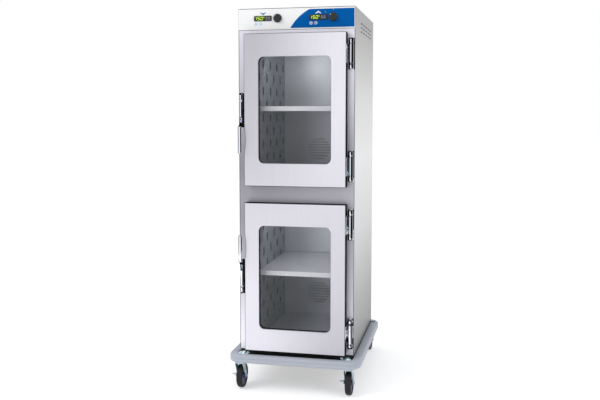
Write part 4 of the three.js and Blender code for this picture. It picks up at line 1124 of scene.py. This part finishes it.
# %% Display panes, digits and keys
BARS = {"0": "abcdef", "1": "bc", "5": "acdfg"}
SLANT = Matrix(((1, 0, 0.14, 0), (0, 1, 0, 0), (0, 0, 1, 0), (0, 0, 0, 1)))
BAR_PLACE = {
    "a": (0.0, 1.0, True), "b": (1.0, 0.5, False), "c": (1.0, -0.5, False), "d": (0.0, -1.0, True),
    "e": (-1.0, -0.5, False), "f": (-1.0, 0.5, False), "g": (0.0, 0.0, True),
}
HALF_WIDE = 4.8
HALF_TALL = 7.4
BAR_THICK = 1.2
BAR_GAP = 0.35
PANE_INSET = 3.8
PANE_THICK = 0.7


def digit(sign, x, z):
    """A slanted digit of seven-bar form."""
    bars = []
    for bar in BARS[sign]:
        across, up, lies = BAR_PLACE[bar]
        tip = (HALF_WIDE if lies else HALF_TALL / 2) - BAR_GAP
        flank = tip - BAR_THICK
        below = [(-tip, 0.0), (-flank, -BAR_THICK), (flank, -BAR_THICK)]
        above = [(tip, 0.0), (flank, BAR_THICK), (-flank, BAR_THICK)]
        form = cut_sheet(below + above, FILM)
        if not lies:
            swung(form, ALONG_X)
        bars.append(placed(form, across * HALF_WIDE, 0.0, up * HALF_TALL))
    return placed(joined(*bars), x, 0.0, z, SLANT)


for level in LEVELS:
    low, high = node_box(f"{level}_display")
    middle_z = (low.z + high.z) / 2
    recess = low.y + 1.0
    face = recess - PANE_THICK
    near = (low.x + PANE_INSET, face, low.z + PANE_INSET)
    far = (high.x - PANE_INSET, recess, high.z - PANE_INSET)
    pane = block(near, far, 0.3, 2)
    piece(f"{level}_display_pane", pane, display_glass, "cabinet", crease=40.0)
    signs = [digit(sign, low.x + x, middle_z) for sign, x in (("1", 9.0), ("5", 25.0), ("0", 40.5))]
    signs.append(placed(flat_ring(1.3, 2.5, 24), low.x + 52.0, 0.0, middle_z + 5.0, FACING_FRONT))
    lit = placed(joined(*signs), 0.0, face, 0.0)
    piece(f"{level}_digits", lit, lit_digit, "cabinet", crease=30.0)
    keys = []
    for x, z in ((62.0, 4.0), (75.0, 4.0), (62.0, -4.0), (75.0, -4.0)):
        key = block((0.0, -FILM, -2.4), (9.0, 0.1, 2.4), 0.1, 1)
        keys.append(placed(key, low.x + x, face, middle_z + z))
    piece(f"{level}_keys", joined(*keys), button_grey, "cabinet", crease=40.0)
print("displays:", len(LEVELS))

# %% [markdown]
# ## Fixings
# Screws hold the rear cover and bolts hold the casters. They are small and many, so each is a short lathe
# form with few steps, and each set is joined into one piece.

# %% Rear cover screws and caster bolts
SCREW_HEAD = [(4.2, 0.0), (4.0, 0.9), (2.8, 1.6), (0.0, 1.9)]
SCREW_ROWS = 6
FACING_BACK = Matrix.Rotation(math.radians(-90), 4, "X")
low, high = node_box("rear_cover")
row_step = (high.z - low.z - 24.0) / (SCREW_ROWS - 1)
screws = []
for x in (low.x + 10.0, 0.0, high.x - 10.0):
    for row in range(SCREW_ROWS):
        if x != 0.0 or row in (0, SCREW_ROWS - 1):
            screw_z = low.z + 12.0 + row * row_step
            screws.append(placed(turned(SCREW_HEAD, 16), x, high.y - 0.1, screw_z, FACING_BACK))
piece("rear_cover_screws", joined(*screws), zinc, "cabinet", crease=40.0)
HEXAGON_HEAD = [(0.0, 0.0), (7.5, 0.0), (7.5, 4.0), (6.4, 5.0), (0.0, 5.0)]
for corner in CORNERS:
    axis = pivot[f"{corner}_caster_swivel"]
    plate_top = node_box(f"{corner}_caster_plate")[1].z
    inward = 1 if axis.x < 0 else -1
    backward = 1 if axis.y < 0 else -1
    bolts = [
        placed(turned(HEXAGON_HEAD, 6), axis.x + inward * x, axis.y + backward * y, plate_top - 0.1)
        for x, y in ((34.0, 33.0), (-4.0, 33.0), (34.0, 12.0))
    ]
    piece(f"{corner}_plate_bolts", joined(*bolts), zinc, "cabinet", crease=20.0)
print("rear screws:", len(screws))

# %% [markdown]
# ## Corner plates and plugs
# A bright zinc plate lies inside each front corner of the bumper, with an upright tab at its inner end and a
# domed nut. At the back a rubber plug with a bolt through it sits on top of the bumper on either side.

# %% Corner plates and plugs
DOMED_NUT = [(18.5, 0.0), (18.5, 1.6), (12.0, 2.0), (11.4, 5.6), (8.0, 7.4), (0.0, 8.0)]
PLUG_BOLT = [(7.0, 0.0), (7.0, 2.4), (5.8, 3.4), (0.0, 3.6)]
rail_low, rail_high = node_box("bumper_rail")
plate_z = rail_high.z - 6.0
plate_inner = 239.0
for name, side in (("front_left", -1), ("front_right", 1)):
    near, far = sorted((side * plate_inner, side * 298.4))
    flat = rounded_flat((near, rail_low.y + 39.6), (far, front_plane - 0.2), 27.0, plate_z)
    plate = thicken(flat, (0.0, 0.0, 3.0))
    near, far = sorted((side * plate_inner, side * (plate_inner + 13.0)))
    tab = block((near, rail_low.y + 50.0, plate_z), (far, rail_low.y + 54.0, plate_z + 13.0), 1.4, 3)
    nut = placed(turned(DOMED_NUT, 40), side * 272.0, front_plane - 29.0, plate_z + 2.9)
    piece(f"{name}_corner_plate", joined(plate, tab, nut), bright_zinc, "cabinet")
plugs = []
bolts = []
for side in (-1, 1):
    near, far = sorted((side * 303.5, side * 325.0))
    flat = rounded_flat((near, rail_high.y - 82.0), (far, rail_high.y - 39.0), 10.0, rail_high.z - 0.2)
    plugs.append(thicken(flat, (0.0, 0.0, 0.6)))
    bolts.append(placed(turned(PLUG_BOLT, 24), side * 314.0, rail_high.y - 60.0, rail_high.z + 0.3))
piece("rear_plugs", joined(*plugs), gasket_rubber, "cabinet")
piece("rear_plug_bolts", joined(*bolts), zinc, "cabinet")
print("corner plates and plugs:", 4)
